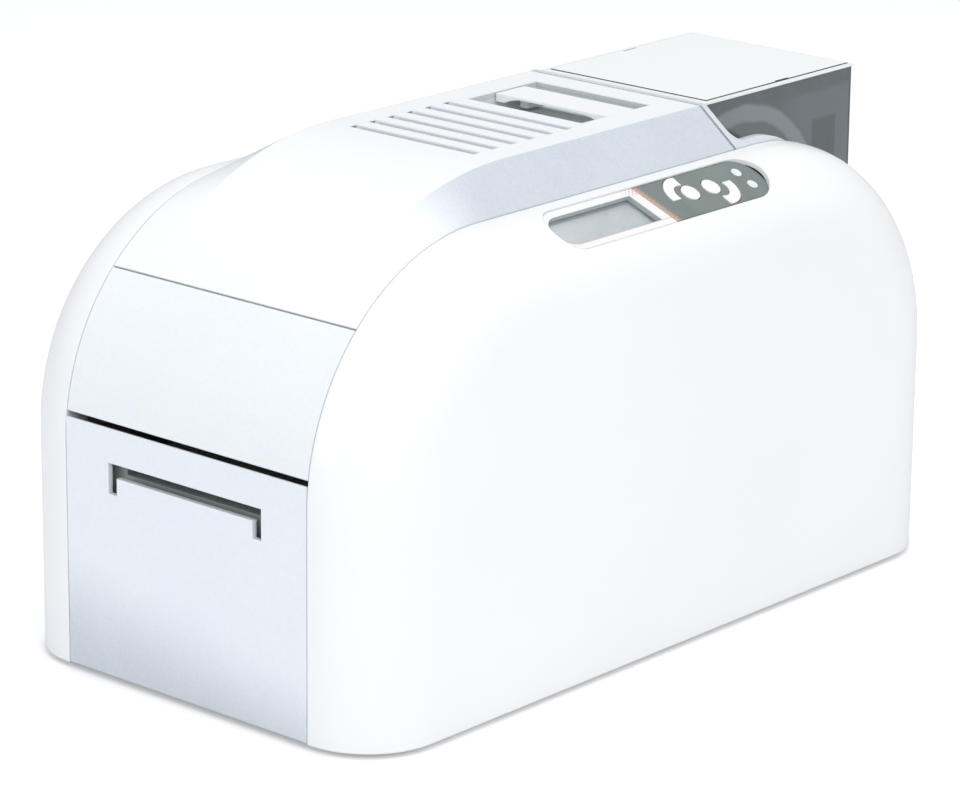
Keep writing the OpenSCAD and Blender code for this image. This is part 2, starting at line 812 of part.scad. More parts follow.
module plate_2d_side() {
    difference() {
        union() {
            polygon([[roller_y - 20, floor_t], [pick_y + 20, floor_t], [pick_y + 20, path_z + 18],
                [pick_y - 40, path_z + 18], [head_y + 14, head_z + 16],
                [roller_y + 2, head_z + 16], [34, path_z + 81.6], [17, path_z + 47.6],
                [22, path_z + 37.6], [roller_y - 20, path_z + 31.6]]);
        }
        for (k = [0 : 4])
            translate([roller_y + k * roller_pitch, shaft_z]) circle(shaft_r + 2);
        for (y = [roller_y, roller_y + 3 * roller_pitch])
            translate([y, pinch_z]) circle(2 + run);
        translate([pick_y - 43, pinch_z + 0.6]) circle(2 + run);
        translate([head_y, head_z]) circle(3 + run);
        translate([mid_y, motor_z]) circle(6);
        translate([roller_y + 32, 20]) square([24, path_z - 54.4]);
        translate([mid_y + 34, 20]) square([pick_y - mid_y - 144, path_z - 54.4]);
        translate([pick_y - 90, 20]) square([80, path_z - 54.4]);
        for (y = [takeup_y, supply_y]) translate([y, spool_z]) circle(5);
    }
}

module frame_plates() {
    color("lightgray") place() both_sides() side_extrude(plate_x, plate_o) plate_2d_side();
}

module cross_bars() {
    color("silver") place() {
        for (p = [[roller_y - 8, spool_z], [roller_y + 42, head_z + 5], [roller_y - 8, 30],
            [pick_y + 6, 30], [head_y - 10, path_z - 19.4]])
            rod(-plate_x, plate_x, p[0], p[1], 4);
    }
}

module hinge_bridge() {
    color("lightgray") place() both_sides() {
        difference() {
            side_extrude(plate_o, plate_o + 2.5) {
                difference() {
                    polygon([[cover_pin_y - 12, path_z + 13.6], [hopper_y - 3.4, path_z + 13.6],
                        [hopper_y - 3.4, skin_low - 0.3], [frame_y0, skin_low - 0.3],
                        [frame_y0, body_h - 3.6], [cover_pin_y - 6, body_h - 3.6],
                        [cover_pin_y - 12, body_h - 28]]);
                    translate([cover_pin_y, cover_pin_z]) {
                        circle(1.8 + run);
                        intersection() {
                            circle(cover_pin_b + rear_seam + 0.2);
                            rotate(25) translate([4.1, -20]) square(40);
                        }
                        difference() {
                            square(40);
                            circle(4.2);
                        }
                    }
                }
            }
        }
        rod(plate_x - 2.8, plate_o, latch_y + 5.8, latch_z - 13.5, 1.5);
    }
}

module card_track() {
    color("dimgray") place() difference() {
        union() {
            block(-plate_x, plate_x, roller_y - 12, mag_y0 - 3, path_z - 2.5, path_z);
            both_sides()
                block(path_w / 2, path_w / 2 + 3, roller_y - 12, mag_y0 - 3, path_z - 1, path_z + 2);
        }
        for (k = [0 : 3])
            block(-26, 26, roller_y + k * roller_pitch - 9.5, roller_y + k * roller_pitch + 9.5,
                path_z - 5, path_z + 5);
        for (k = [0 : 3])
            block(-plate_x - 1, plate_x + 1, roller_y + k * roller_pitch - 4,
                roller_y + k * roller_pitch + 4, path_z - 5, path_z - 1.9);
    }
}

module exit_chute() {
    color([0.12, 0.13, 0.14]) place() {
        difference() {
            block(-slot_w / 2 - 7.9, slot_w / 2 + 7.9, 9, 11.5, slot_low - 5, slot_top + 6);
            block(-50, 50, 8, 13, path_z - 4, path_z + 3.4);
        }
        for (z = [path_z - 6, path_z + 3.4]) block(-52, 52, 11, 58, z, z + 2);
        both_sides() {
            block(50, 52, 11, 58, path_z - 6, path_z + 5.4);
            block(plate_x - 2.4, plate_x, 50, roller_y - 12.5, path_z - 5, path_z + 4);
        }
    }
}

module magazine() {
    x1 = path_w / 2;
    color([0.25, 0.26, 0.28]) place() difference() {
        union() {
            block(-x1 - 2.5, x1 + 2.5, mag_y0 - 2.5, mag_y1 + 2.5, path_z - 2.5, body_h - 30);
            both_sides() block(x1, plate_x, pick_y - 10, pick_y + 16, path_z + 2, path_z + 14);
        }
        block(-x1, x1, mag_y0, mag_y1, path_z, body_h - 28);
        block(-x1, x1, mag_y0 - 4, mag_y0 + 1, path_z, path_z + 1.1);
        block(-22, 22, pick_y - 9.5, pick_y + 9.5, path_z - 5, path_z + 1);
        block(-14, 14, mag_y0 - 4, mag_y0 + 1, spool_z, body_h - 28);
        both_sides() block(x1 - 1, x1 + 4, mag_y0 + 20, mag_y1 - 20, path_z + 25.6, body_h - 42);
    }
}

module weight_plate() {
    color("silver") place() {
        block(0.2 - card_w / 2, card_w / 2 - 0.2, mag_y0 + 0.8, mag_y1 - 0.8, path_z + 0.3, path_z + 5);
        block(-8, 8, mag_y0 + 30, mag_y0 + 34, path_z + 4, path_z + 24);
    }
}

module bushes() {
    color("goldenrod") place() both_sides() for (k = [0 : 4]) difference() {
        rod(plate_x, plate_o, roller_y + k * roller_pitch, shaft_z, shaft_r + 2);
        rod(plate_x - 1, plate_o + 1, roller_y + k * roller_pitch, shaft_z, shaft_r + run);
    }
}

module roller(y, half, far) {
    rod(-plate_o - 1, far, y, shaft_z, shaft_r);
    rod(-half, half, y, shaft_z, roller_r);
    rod(plate_o + 1.5, plate_o + 7, y, shaft_z, pulley_r);
    rod(plate_o + 7, plate_o + 8, y, shaft_z, pulley_r + 1.4);
}

module front_roller() { color("dimgray") place() roller(roller_y, 24, plate_o + 8); }

module middle_roller() {
    color("dimgray") place() {
        roller(mid_y, 24, plate_o + 15);
        rod(plate_o + 9, plate_o + 14.4, mid_y, shaft_z, pulley_r);
        rod(plate_o + 14, plate_o + 15, mid_y, shaft_z, pulley_r + 1.4);
    }
}

module platen_roller() { color("black") place() roller(platen_y, 25.5, plate_o + 8); }

module rear_roller() { color("dimgray") place() roller(roller_y + 3 * roller_pitch, 24, plate_o + 8); }

module pick_roller() { color("dimgray") place() roller(pick_y, 18, plate_o + 8); }

module upper_roller(y, z, r, half) {
    rod(-plate_o, plate_o, y, z, 2);
    rod(-half, half, y, z, r);
}

module pinch_front() { color("gray") place() upper_roller(roller_y, pinch_z, pinch_r, 24); }

module pinch_rear() {
    color("gray") place() upper_roller(roller_y + 3 * roller_pitch, pinch_z, pinch_r, 24);
}

module cleaning_roller() {
    color("powderblue") place() upper_roller(pick_y - 43, pinch_z + 0.6, pinch_r + 0.6, 25);
}

module belt_2d(r, l) {
    difference() {
        union() {
            circle(r + belt_t);
            translate([l, 0]) circle(r + belt_t);
            translate([0, -r - belt_t]) square([l, 2 * (r + belt_t)]);
        }
        circle(r);
        translate([l, 0]) circle(r);
        translate([0, -r]) square([l, 2 * r]);
    }
}

module drive_belt() {
    color("black") place() side_extrude(plate_o + 2, plate_o + 6.4)
        translate([roller_y, shaft_z]) belt_2d(pulley_r + belt_gap, 4 * roller_pitch);
}

module motor_belt() {
    color("black") place() side_extrude(plate_o + 9.4, plate_o + 13.4)
        translate([mid_y, motor_z]) rotate(90) belt_2d(pulley_r + belt_gap, shaft_z - motor_z);
}

module feed_motor() {
    s = motor_s / 2;
    color("dimgray") place() difference() {
        union() {
            block(plate_x - 34, plate_x, mid_y - s, mid_y + s, motor_z - s, motor_z + s);
            rod(plate_x - 1, plate_o - 0.2, mid_y, motor_z, 5.6);
        }
        rod(plate_x - 30, plate_x + 5, mid_y, motor_z, 2.5 + run);
        for (a = [45, 135, 225, 315])
            translate([0, mid_y, motor_z]) rotate([a, 0, 0])
                rod(plate_x - 40, plate_x - 30, 0, s * 1.35, 2);
    }
}

module motor_rotor() {
    color("lightgray") place() {
        rod(plate_x - 29, plate_o + 15, mid_y, motor_z, 2.5);
        rod(plate_o + 9, plate_o + 14.4, mid_y, motor_z, pulley_r);
        rod(plate_o + 14, plate_o + 15, mid_y, motor_z, pulley_r + 1.4);
    }
}

module head_arm() {
    color("lightgray") place() {
        rod(-plate_o, plate_o, head_y, head_z, 3);
        both_sides() side_extrude(34, 36) {
            translate([head_y, head_z]) circle(6);
            translate([platen_y, head_z - 6]) square([head_y - platen_y, 10]);
            translate([platen_y - 7, path_z + 13.6]) square([14, head_rise - 9.6]);
        }
        block(-36, 36, platen_y - 7, platen_y + 7, path_z + 45.6, path_z + 48.6);
        rod(-34, 34, platen_y + 24, head_z, 3);
    }
}

module print_head() {
    color("ivory") place() {
        block(-33.9, 33.9, platen_y - 6, platen_y + 6, path_z + 14.6, path_z + 45.6);
        block(-29, 29, platen_y - 4, platen_y + 4, path_z + 2.6, path_z + 15.1);
    }
}

module cassette() {
    color("slategray") place() {
        both_sides() difference() {
            side_extrude(36.6, 38.6) difference() {
                union() {
                    translate([takeup_y, spool_z]) circle(17);
                    translate([supply_y, spool_z]) circle(19);
                    translate([takeup_y, spool_z - 14]) square([supply_y - takeup_y, 12]);
                    translate([takeup_y + 28, path_z + 1.6]) square([spool_reach - 37, 24]);
                    translate([platen_y + 9, path_z + 1.6]) square([8, 24]);
                }
                translate([takeup_y, spool_z]) circle(4 + run);
                translate([supply_y, spool_z]) circle(4 + run);
                translate([platen_y - 8.6, path_z - 14.4]) square([17.2, 47]);
            }
        }
        rod(-38, 38, platen_y - 14, path_z + 5.1, 2.4);
        rod(-38, 38, platen_y + 13, path_z + 5.1, 2.4);
        both_sides() {
            block(38.6, plate_x, takeup_y + 24, takeup_y + 32, spool_z - 12, spool_z - 4);
            block(38.6, plate_x, supply_y - 30, supply_y - 22, spool_z - 12, spool_z - 4);
        }
    }
}

module strip(p, q, t) {
    d = q - p;
    translate(p) rotate(atan2(d[1], d[0])) translate([0, -t / 2]) square([norm(d), t]);
}

module ribbon_film() {
    z = path_z + 2.15;
    color("goldenrod") place() side_extrude(-30, 30) {
        strip([supply_y + 5.8, spool_z - 15.8], [platen_y + 13, z], 0.2);
        strip([platen_y + 13.1, z], [platen_y - 14.1, z], 0.2);
        strip([platen_y - 14, z], [takeup_y - 4.6, spool_z - 11.6], 0.2);
    }
}

module spool(y, r, half) {
    rod(-38.6, 38.6, y, spool_z, 4);
    rod(-half, half, y, spool_z, r);
    both_sides() rod(half, half + 1.2, y, spool_z, r + 2.4);
}

module supply_spool() { color("goldenrod") place() spool(supply_y, 15, 31); }

module takeup_spool() { color("tan") place() spool(takeup_y, 10.6, 31); }

module main_board() {
    w = bay_x1 - board_x0;
    color("darkgreen") place() {
        block(board_x0, bay_x1, board_y0, body_l - 42, 8, 9.6);
        block(port_x - 1, port_x + 27, body_l - 43, body_l - 10, 8, 9.6);
        for (x = [board_x0 + 4, bay_x1 - 4])
            for (y = [4, 114, 236]) translate([x, board_y0 + y, floor_t]) cylinder(h = 5.2, r = 3);
        translate([board_x0, board_y0, 9.5]) {
            for (p = [[10, 24, 22, 22, 3], [14, 74, 14, 26, 3], [w - 24, 34, 16, 30, 9],
                [w - 28, 104, 22, 14, 5], [8, 134, 30, 10, 8], [8, 164, 30, 10, 8],
                [w - 20, 154, 14, 40, 4], [10, 204, 18, 18, 6]])
                translate([p[0], p[1], 0]) cube([p[2], p[3], p[4]]);
            for (p = [[w - 12, 80], [w - 12, 96], [w - 12, 208], [w - 26, 216]])
                translate([p[0], p[1], 0]) cylinder(h = 14, r = 5);
        }
    }
}

module power_box() {
    x1 = plate_o + 12;
    color("silver") place() difference() {
        block(-bay_x1, -x1, box_y0, box_y0 + power_l, floor_t, floor_t + power_h);
        for (k = [0 : 8])
            block(-bay_x1 - 1, 2 - bay_x1, box_y0 + 14 + k * 13, box_y0 + 20 + k * 13, 14, 38);
    }
}

module rear_ports() {
    y0 = body_l - 22;
    color("gainsboro") place() {
        difference() {
            union() {
                block(port_x + 1, port_x + 14.4, y0, body_l - 0.4, 14, 27.6);
                block(port_x + 1, port_x + 14.4, y0, y0 + 12, 9.6, 14);
            }
            block(port_x + 2.4, port_x + 13, body_l - 15, body_l + 1, 15.2, 26.2);
        }
        difference() {
            union() {
                block(port_x + 15.4, port_x + 25, y0, body_l - 0.4, 14, 26);
                block(port_x + 15.4, port_x + 25, y0, y0 + 12, 9.6, 14);
            }
            block(port_x + 16.6, port_x + 23.8, body_l - 15, body_l + 1, 15.4, 24.8);
        }
        difference() {
            block(inlet_x + 0.4, inlet_x + 20.8, y0, body_l - 0.4, inlet_z + 0.4, inlet_z + 13.6);
            translate([inlet_x + 10.6, body_l + 1, inlet_z + 7]) rotate([90, 0, 0])
                cylinder(h = 14, r = 4.2);
        }
        translate([inlet_x + 10.6, body_l - 1, inlet_z + 7]) rotate([90, 0, 0])
            cylinder(h = 14, r = 1.1);
        difference() {
            block(rocker_x - 7.6, rocker_x + 7.6, body_l - 18, body_l - shell_t,
                rocker_z - 8, rocker_z + 8);
            block(rocker_x - 6, rocker_x + 6, body_l - 16, body_l, rocker_z - 6.6, rocker_z + 6.6);
            rod(rocker_x - 8, rocker_x + 8, body_l - 6, rocker_z, 1.2 + run);
        }
    }
}

module power_rocker() {
    color("black") place() translate([rocker_x, body_l - 6, rocker_z]) rotate([-8, 0, 0]) {
        difference() {
            block(-5.6, 5.6, -3, 4.8, -5.6, 5.6);
            translate([0, 17.2, 0]) rotate([0, 90, 0]) cylinder(h = 20, r = 13.6, center = true);
        }
        rod(-7.4, 7.4, 0, 0, 1.2);
    }
}

module cooling_fan() {
    y1 = body_l - shell_t;
    s = fan_s / 2;
    color("black") place() difference() {
        block(-s, s, y1 - 15, y1, fan_z - s, fan_z + s);
        translate([0, y1 + 1, fan_z]) rotate([90, 0, 0]) cylinder(h = 17, r = s - 2);
    }
    color("black") place() {
        translate([0, y1 - 12.6, fan_z]) rotate([90, 0, 0]) cylinder(h = 2.4, r = 12);
        for (a = [0, 90, 180, 270]) translate([0, y1 - 13.8, fan_z]) rotate([0, a, 0])
            block(8, s - 1, -1.2, 1.2, -1.4, 1.4);
        translate([0, y1 - 3, fan_z]) rotate([90, 0, 0]) cylinder(h = 10, r = 1.5);
    }
}

module fan_rotor() {
    y1 = body_l - shell_t;
    color("dimgray") place() difference() {
        union() {
            translate([0, y1 - 2, fan_z]) rotate([90, 0, 0]) cylinder(h = 10, r = 11);
            for (k = [0 : 6]) translate([0, y1 - 7, fan_z]) rotate([0, k * 360 / 7, 0])
                rotate([38, 0, 0]) block(9, fan_s / 2 - 3.4, -0.7, 0.7, -4.4, 4.4);
        }
        translate([0, y1 - 1, fan_z]) rotate([90, 0, 0]) cylinder(h = 13, r = 1.5 + run);
    }
}

base_tray();
rubber_feet();
side_cover_right();
side_cover_left();
rear_panel();
fascia();
hopper_frame();
hopper_walls();
hopper_rim();
door_panel();
door_liner();
door_pins();
cover_shell();
cover_liner();
latch_well();
pull_plate();
latch_hooks();
hopper_lid();
panel_frame();
lcd_glass();
lcd_module();
keypad_plate();
panel_board();
status_lights();
key_back();
key_menu();
key_enter();
key_next();
frame_plates();
cross_bars();
hinge_bridge();
card_track();
exit_chute();
magazine();
weight_plate();
bushes();
front_roller();
middle_roller();
platen_roller();
rear_roller();
pick_roller();
pinch_front();
pinch_rear();
cleaning_roller();
drive_belt();
motor_belt();
feed_motor();
motor_rotor();
head_arm();
print_head();
cassette();
ribbon_film();
supply_spool();
takeup_spool();
main_board();
power_box();
rear_ports();
power_rocker();
cooling_fan();
fan_rotor();
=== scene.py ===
import bpy
import bmesh
import math
from mathutils import Matrix, Vector


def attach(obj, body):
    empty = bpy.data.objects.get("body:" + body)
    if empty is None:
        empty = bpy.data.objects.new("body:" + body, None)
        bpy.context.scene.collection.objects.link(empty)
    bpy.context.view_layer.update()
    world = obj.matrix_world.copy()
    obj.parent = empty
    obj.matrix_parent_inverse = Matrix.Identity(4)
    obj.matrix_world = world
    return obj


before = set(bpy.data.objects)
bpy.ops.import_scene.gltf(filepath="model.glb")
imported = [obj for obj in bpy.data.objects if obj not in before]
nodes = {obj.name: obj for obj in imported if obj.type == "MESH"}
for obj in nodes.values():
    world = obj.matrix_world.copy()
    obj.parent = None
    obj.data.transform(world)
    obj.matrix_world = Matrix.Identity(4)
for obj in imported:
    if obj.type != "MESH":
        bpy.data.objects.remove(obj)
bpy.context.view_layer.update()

print("frame loaded:", len(nodes), "nodes")

# small helpers for trees, colours and places


def shade(red, green, blue):
    # screen values 0 to 255 turned into the linear colour a socket wants
    parts = []
    for part in (red, green, blue):
        part = part / 255
        parts.append(part / 12.92 if part <= 0.04045 else ((part + 0.055) / 1.055) ** 2.4)
    return (*parts, 1.0)


def plug(tree, value, socket):
    if hasattr(value, "is_output") or hasattr(value, "links"):
        tree.links.new(value, socket)
    else:
        socket.default_value = value


def addNode(tree, kind, inputs=None, **fixed):
    node = tree.nodes.new("ShaderNode" + kind)
    for key, value in fixed.items():
        setattr(node, key, value)
    for key, value in (inputs or {}).items():
        plug(tree, value, node.inputs[key])
    return node


def sums(tree, operation, first, second=0.0, third=0.0, clamp=False):
    node = addNode(tree, "Math", operation=operation, use_clamp=clamp)
    for socket, value in zip(node.inputs, (first, second, third)):
        plug(tree, value, socket)
    return node.outputs[0]


def between(tree, value, low, high, outLow=0.0, outHigh=1.0, smooth=True):
    node = addNode(tree, "MapRange", {"Value": value})
    node.interpolation_type = "SMOOTHSTEP" if smooth else "LINEAR"
    for key, number in zip(("From Min", "From Max", "To Min", "To Max"), (low, high, outLow, outHigh)):
        plug(tree, number, node.inputs[key])
    return node.outputs[0]


def blendColour(tree, amount, under, over, kind="MIX"):
    node = addNode(tree, "Mix", data_type="RGBA", blend_type=kind)
    plug(tree, amount, node.inputs[0])
    plug(tree, under, node.inputs[6])
    plug(tree, over, node.inputs[7])
    return node.outputs[2]


def axes(tree, vector):
    return addNode(tree, "SeparateXYZ", {0: vector}).outputs


def startGroup(name, inputs, outputs):
    group = bpy.data.node_groups.new(name, "ShaderNodeTree")
    for label, kind, value in inputs:
        socket = group.interface.new_socket(label, in_out="INPUT", socket_type="NodeSocket" + kind)
        if value is not None:
            socket.default_value = value
    for label, kind in outputs:
        group.interface.new_socket(label, in_out="OUTPUT", socket_type="NodeSocket" + kind)
    return group, group.nodes.new("NodeGroupInput").outputs, group.nodes.new("NodeGroupOutput").inputs


def useGroup(tree, group, **inputs):
    node = tree.nodes.new("ShaderNodeGroup")
    node.node_tree = group
    for key, value in inputs.items():
        plug(tree, value, node.inputs[key])
    return node.outputs


# effects that several finishes share


# rubbed edges, patchy along their length; on the door they serve as a painted highlight along the edges
def buildEdgeWearAndHighlight():
    group, given, put = startGroup(
        "edgeWearAndHighlight",
        [("radius", "Float", 0.0006), ("patch", "Float", 90.0)],
        [("mask", "Float"), ("normal", "Vector")],
    )
    softened = addNode(group, "Bevel", samples=4)
    plug(group, given["radius"], softened.inputs["Radius"])
    flat = addNode(group, "NewGeometry")
    turn = addNode(group, "VectorMath", operation="DOT_PRODUCT")
    plug(group, softened.outputs[0], turn.inputs[0])
    plug(group, flat.outputs["Normal"], turn.inputs[1])
    bent = between(group, turn.outputs["Value"], 0.995, 0.86)
    where = addNode(group, "TexCoord").outputs["Object"]
    patches = addNode(group, "TexNoise", {"Vector": where, "Scale": given["patch"], "Detail": 4.0,
        "Roughness": 0.65})
    broken = between(group, patches.outputs[0], 0.36, 0.66)
    plug(group, sums(group, "MULTIPLY", bent, broken), put["mask"])
    plug(group, softened.outputs[0], put["normal"])
    return group


def buildMouldGrain():
    # fine spark-eroded texture and a slow tone change over the moulding
    group, given, put = startGroup(
        "mouldGrain",
        [("scale", "Float", 2200.0), ("flow", "Float", 9.0)],
        [("height", "Float"), ("tone", "Float"), ("speck", "Float")],
    )
    where = addNode(group, "TexCoord").outputs["Object"]
    fine = addNode(group, "TexNoise", {"Vector": where, "Scale": given["scale"], "Detail": 3.0,
        "Roughness": 0.6})
    cells = addNode(group, "TexVoronoi", {"Vector": where, "Scale": given["scale"]}, feature="SMOOTH_F1")
    slow = addNode(group, "TexNoise", {"Vector": where, "Scale": given["flow"], "Detail": 3.0,
        "Distortion": 0.6})
    dots = addNode(group, "TexVoronoi", {"Vector": where, "Scale": 160.0, "Randomness": 1.0})
    both = sums(group, "MULTIPLY_ADD", cells.outputs["Distance"], 0.6, fine.outputs[0])
    plug(group, both, put["height"])
    plug(group, between(group, slow.outputs[0], 0.3, 0.7), put["tone"])
    plug(group, between(group, dots.outputs["Distance"], 0.07, 0.03), put["speck"])
    return group


def buildHandling():
    # wiped smears, a few hairline scratches and dust that settles on what faces up
    group, given, put = startGroup(
        "handling",
        [("smearScale", "Float", 14.0), ("scratchScale", "Float", 60.0)],
        [("smear", "Float"), ("scratch", "Float"), ("dust", "Float")],
    )
    where = addNode(group, "TexCoord").outputs["Object"]
    bend = addNode(group, "TexNoise", {"Vector": where, "Scale": given["smearScale"], "Detail": 5.0,
        "Distortion": 1.4})
    plug(group, between(group, bend.outputs[0], 0.42, 0.68), put["smear"])
    turned = addNode(group, "VectorRotate", {"Vector": where, "Angle": 0.6}, rotation_type="X_AXIS")
    pulled = addNode(group, "VectorMath", operation="MULTIPLY")
    plug(group, turned.outputs[0], pulled.inputs[0])
    pulled.inputs[1].default_value = (1.0, 0.06, 1.0)
    lines = addNode(group, "TexNoise", {"Vector": pulled.outputs[0],
        "Scale": sums(group, "MULTIPLY", given["scratchScale"], 9.0), "Detail": 2.0})
    few = addNode(group, "TexNoise", {"Vector": where, "Scale": 11.0, "Detail": 1.0})
    thin = between(group, lines.outputs[0], 0.735, 0.775)
    plug(group, sums(group, "MULTIPLY", thin, between(group, few.outputs[0], 0.5, 0.62)), put["scratch"])
    up = axes(group, addNode(group, "TexCoord").outputs["Normal"])[2]
    grit = addNode(group, "TexNoise", {"Vector": where, "Scale": 420.0, "Detail": 4.0, "Roughness": 0.8})
    lying = sums(group, "MULTIPLY", between(group, up, 0.25, 0.95),
        between(group, grit.outputs[0], 0.52, 0.75))
    plug(group, sums(group, "MULTIPLY", lying, between(group, bend.outputs[0], 0.3, 0.7)), put["dust"])
    return group


def buildStreaks():
    # long fine lines, as left by brushing, rolling or a paint's metal flake
    group, given, put = startGroup(
        "streaks",
        [("stretch", "Vector", (1.0, 1.0, 0.03)), ("scale", "Float", 900.0)],
        [("height", "Float"), ("tone", "Float")],
    )
    where = addNode(group, "TexCoord").outputs["Object"]
    pulled = addNode(group, "VectorMath", operation="MULTIPLY")
    plug(group, where, pulled.inputs[0])
    plug(group, given["stretch"], pulled.inputs[1])
    fine = addNode(group, "TexNoise", {"Vector": pulled.outputs[0], "Scale": given["scale"], "Detail": 4.0,
        "Roughness": 0.7})
    wide = addNode(group, "TexNoise", {"Vector": pulled.outputs[0],
        "Scale": sums(group, "MULTIPLY", given["scale"], 0.11), "Detail": 3.0})
    plug(group, fine.outputs[0], put["height"])
    tone = sums(group, "ADD", sums(group, "MULTIPLY", fine.outputs[0], 0.6),
        sums(group, "MULTIPLY", wide.outputs[0], 0.4))
    plug(group, between(group, tone, 0.34, 0.66), put["tone"])
    return group


def buildPanelPlace():
    # millimetres across and along the shoulder panel, and out from its face
    group, given, put = startGroup("panelPlace", [],
        [("across", "Float"), ("along", "Float"), ("out", "Float")])
    where = addNode(group, "TexCoord").outputs["Object"]
    moved = addNode(group, "VectorMath", operation="SUBTRACT")
    plug(group, where, moved.inputs[0])
    moved.inputs[1].default_value = (0.0885, -0.240, 0.2075)
    turned = addNode(group, "VectorRotate", {"Vector": moved.outputs[0], "Angle": math.radians(-28.0)},
        rotation_type="Y_AXIS")
    x, y, z = axes(group, turned.outputs[0])
    plug(group, sums(group, "MULTIPLY_ADD", x, 1000.0, -1.4), put["across"])
    plug(group, sums(group, "MULTIPLY", y, 1000.0), put["along"])
    plug(group, sums(group, "MULTIPLY_ADD", z, 1000.0, -39.65), put["out"])
    return group


edgeWearAndHighlight = buildEdgeWearAndHighlight()
mouldGrain = buildMouldGrain()
handling = buildHandling()
streaks = buildStreaks()
panelPlace = buildPanelPlace()
print("shared effects built")


def startFinish(name, look):
    material = bpy.data.materials.new(name)
    material.use_nodes = True
    tree = material.node_tree
    shader = tree.nodes["Principled BSDF"]
    for key, value in look.get("fixed", {}).items():
        shader.inputs[key].default_value = value
    material.diffuse_color = look["tint"]
    return material, tree, shader


def endFinish(tree, shader, colour, rough, height, depth, normal=None):
    plug(tree, colour, shader.inputs["Base Color"])
    plug(tree, rough, shader.inputs["Roughness"])
    relief = addNode(tree, "Bump", {"Height": height, "Distance": depth, "Strength": 1.0})
    if normal is not None:
        plug(tree, normal, relief.inputs["Normal"])
    plug(tree, relief.outputs[0], shader.inputs["Normal"])


# finish families


def mouldedPlastic(name, look):
    # a moulding: spark texture, slow tone change, smears, scratches, worn edges and dust
    material, tree, shader = startFinish(name, look)
    grain = useGroup(tree, mouldGrain, scale=look["grain"], flow=look.get("flow", 9.0))
    marks = useGroup(tree, handling, smearScale=look.get("smearScale", 14.0), scratchScale=60.0)
    edge = useGroup(tree, edgeWearAndHighlight, radius=look.get("edge", 0.0005), patch=90.0)
    colour = blendColour(tree, grain["tone"], look["tint"], look["second"])
    colour = blendColour(tree, sums(tree, "MULTIPLY", grain["speck"], look.get("specks", 0.08)), colour,
        look["edgeTint"])
    colour = blendColour(tree, sums(tree, "MULTIPLY", marks["scratch"], look.get("scratches", 0.2)),
        colour, look["edgeTint"])
    colour = blendColour(tree, sums(tree, "MULTIPLY", edge["mask"], look.get("wearAndHighlight", 0.4)), colour,
        look["edgeTint"])
    colour = blendColour(tree, sums(tree, "MULTIPLY", marks["dust"], look.get("dust", 0.1)), colour,
        shade(176, 174, 170))
    if "flank" in look:
        half, front, seamShade = look["flank"]  # painted shade: the narrow seam faces get a dark colour
        spot = addNode(tree, "TexCoord")  # its normal turns with the piece, so an open lid stays white
        x, y, z = axes(tree, spot.outputs["Object"])
        upward = sums(tree, "ABSOLUTE", axes(tree, spot.outputs["Normal"])[2])
        seam = sums(tree, "MULTIPLY", between(tree, upward, 0.5, 0.3),
            between(tree, y, front - 0.0002, front))
        seam = sums(tree, "MULTIPLY", seam, between(tree, sums(tree, "ABSOLUTE", x), half + 0.0002, half))
        colour = blendColour(tree, seam, colour, seamShade)
    rough = sums(tree, "MULTIPLY_ADD", marks["smear"], look.get("smears", 0.08), look["rough"])
    rough = sums(tree, "MULTIPLY_ADD", marks["dust"], look.get("dustRough", 0.2), rough)
    height = sums(tree, "MULTIPLY_ADD", marks["scratch"], look.get("nick", -0.8), grain["height"])
    endFinish(tree, shader, colour, rough, height, look["depth"], edge["normal"])
    return material


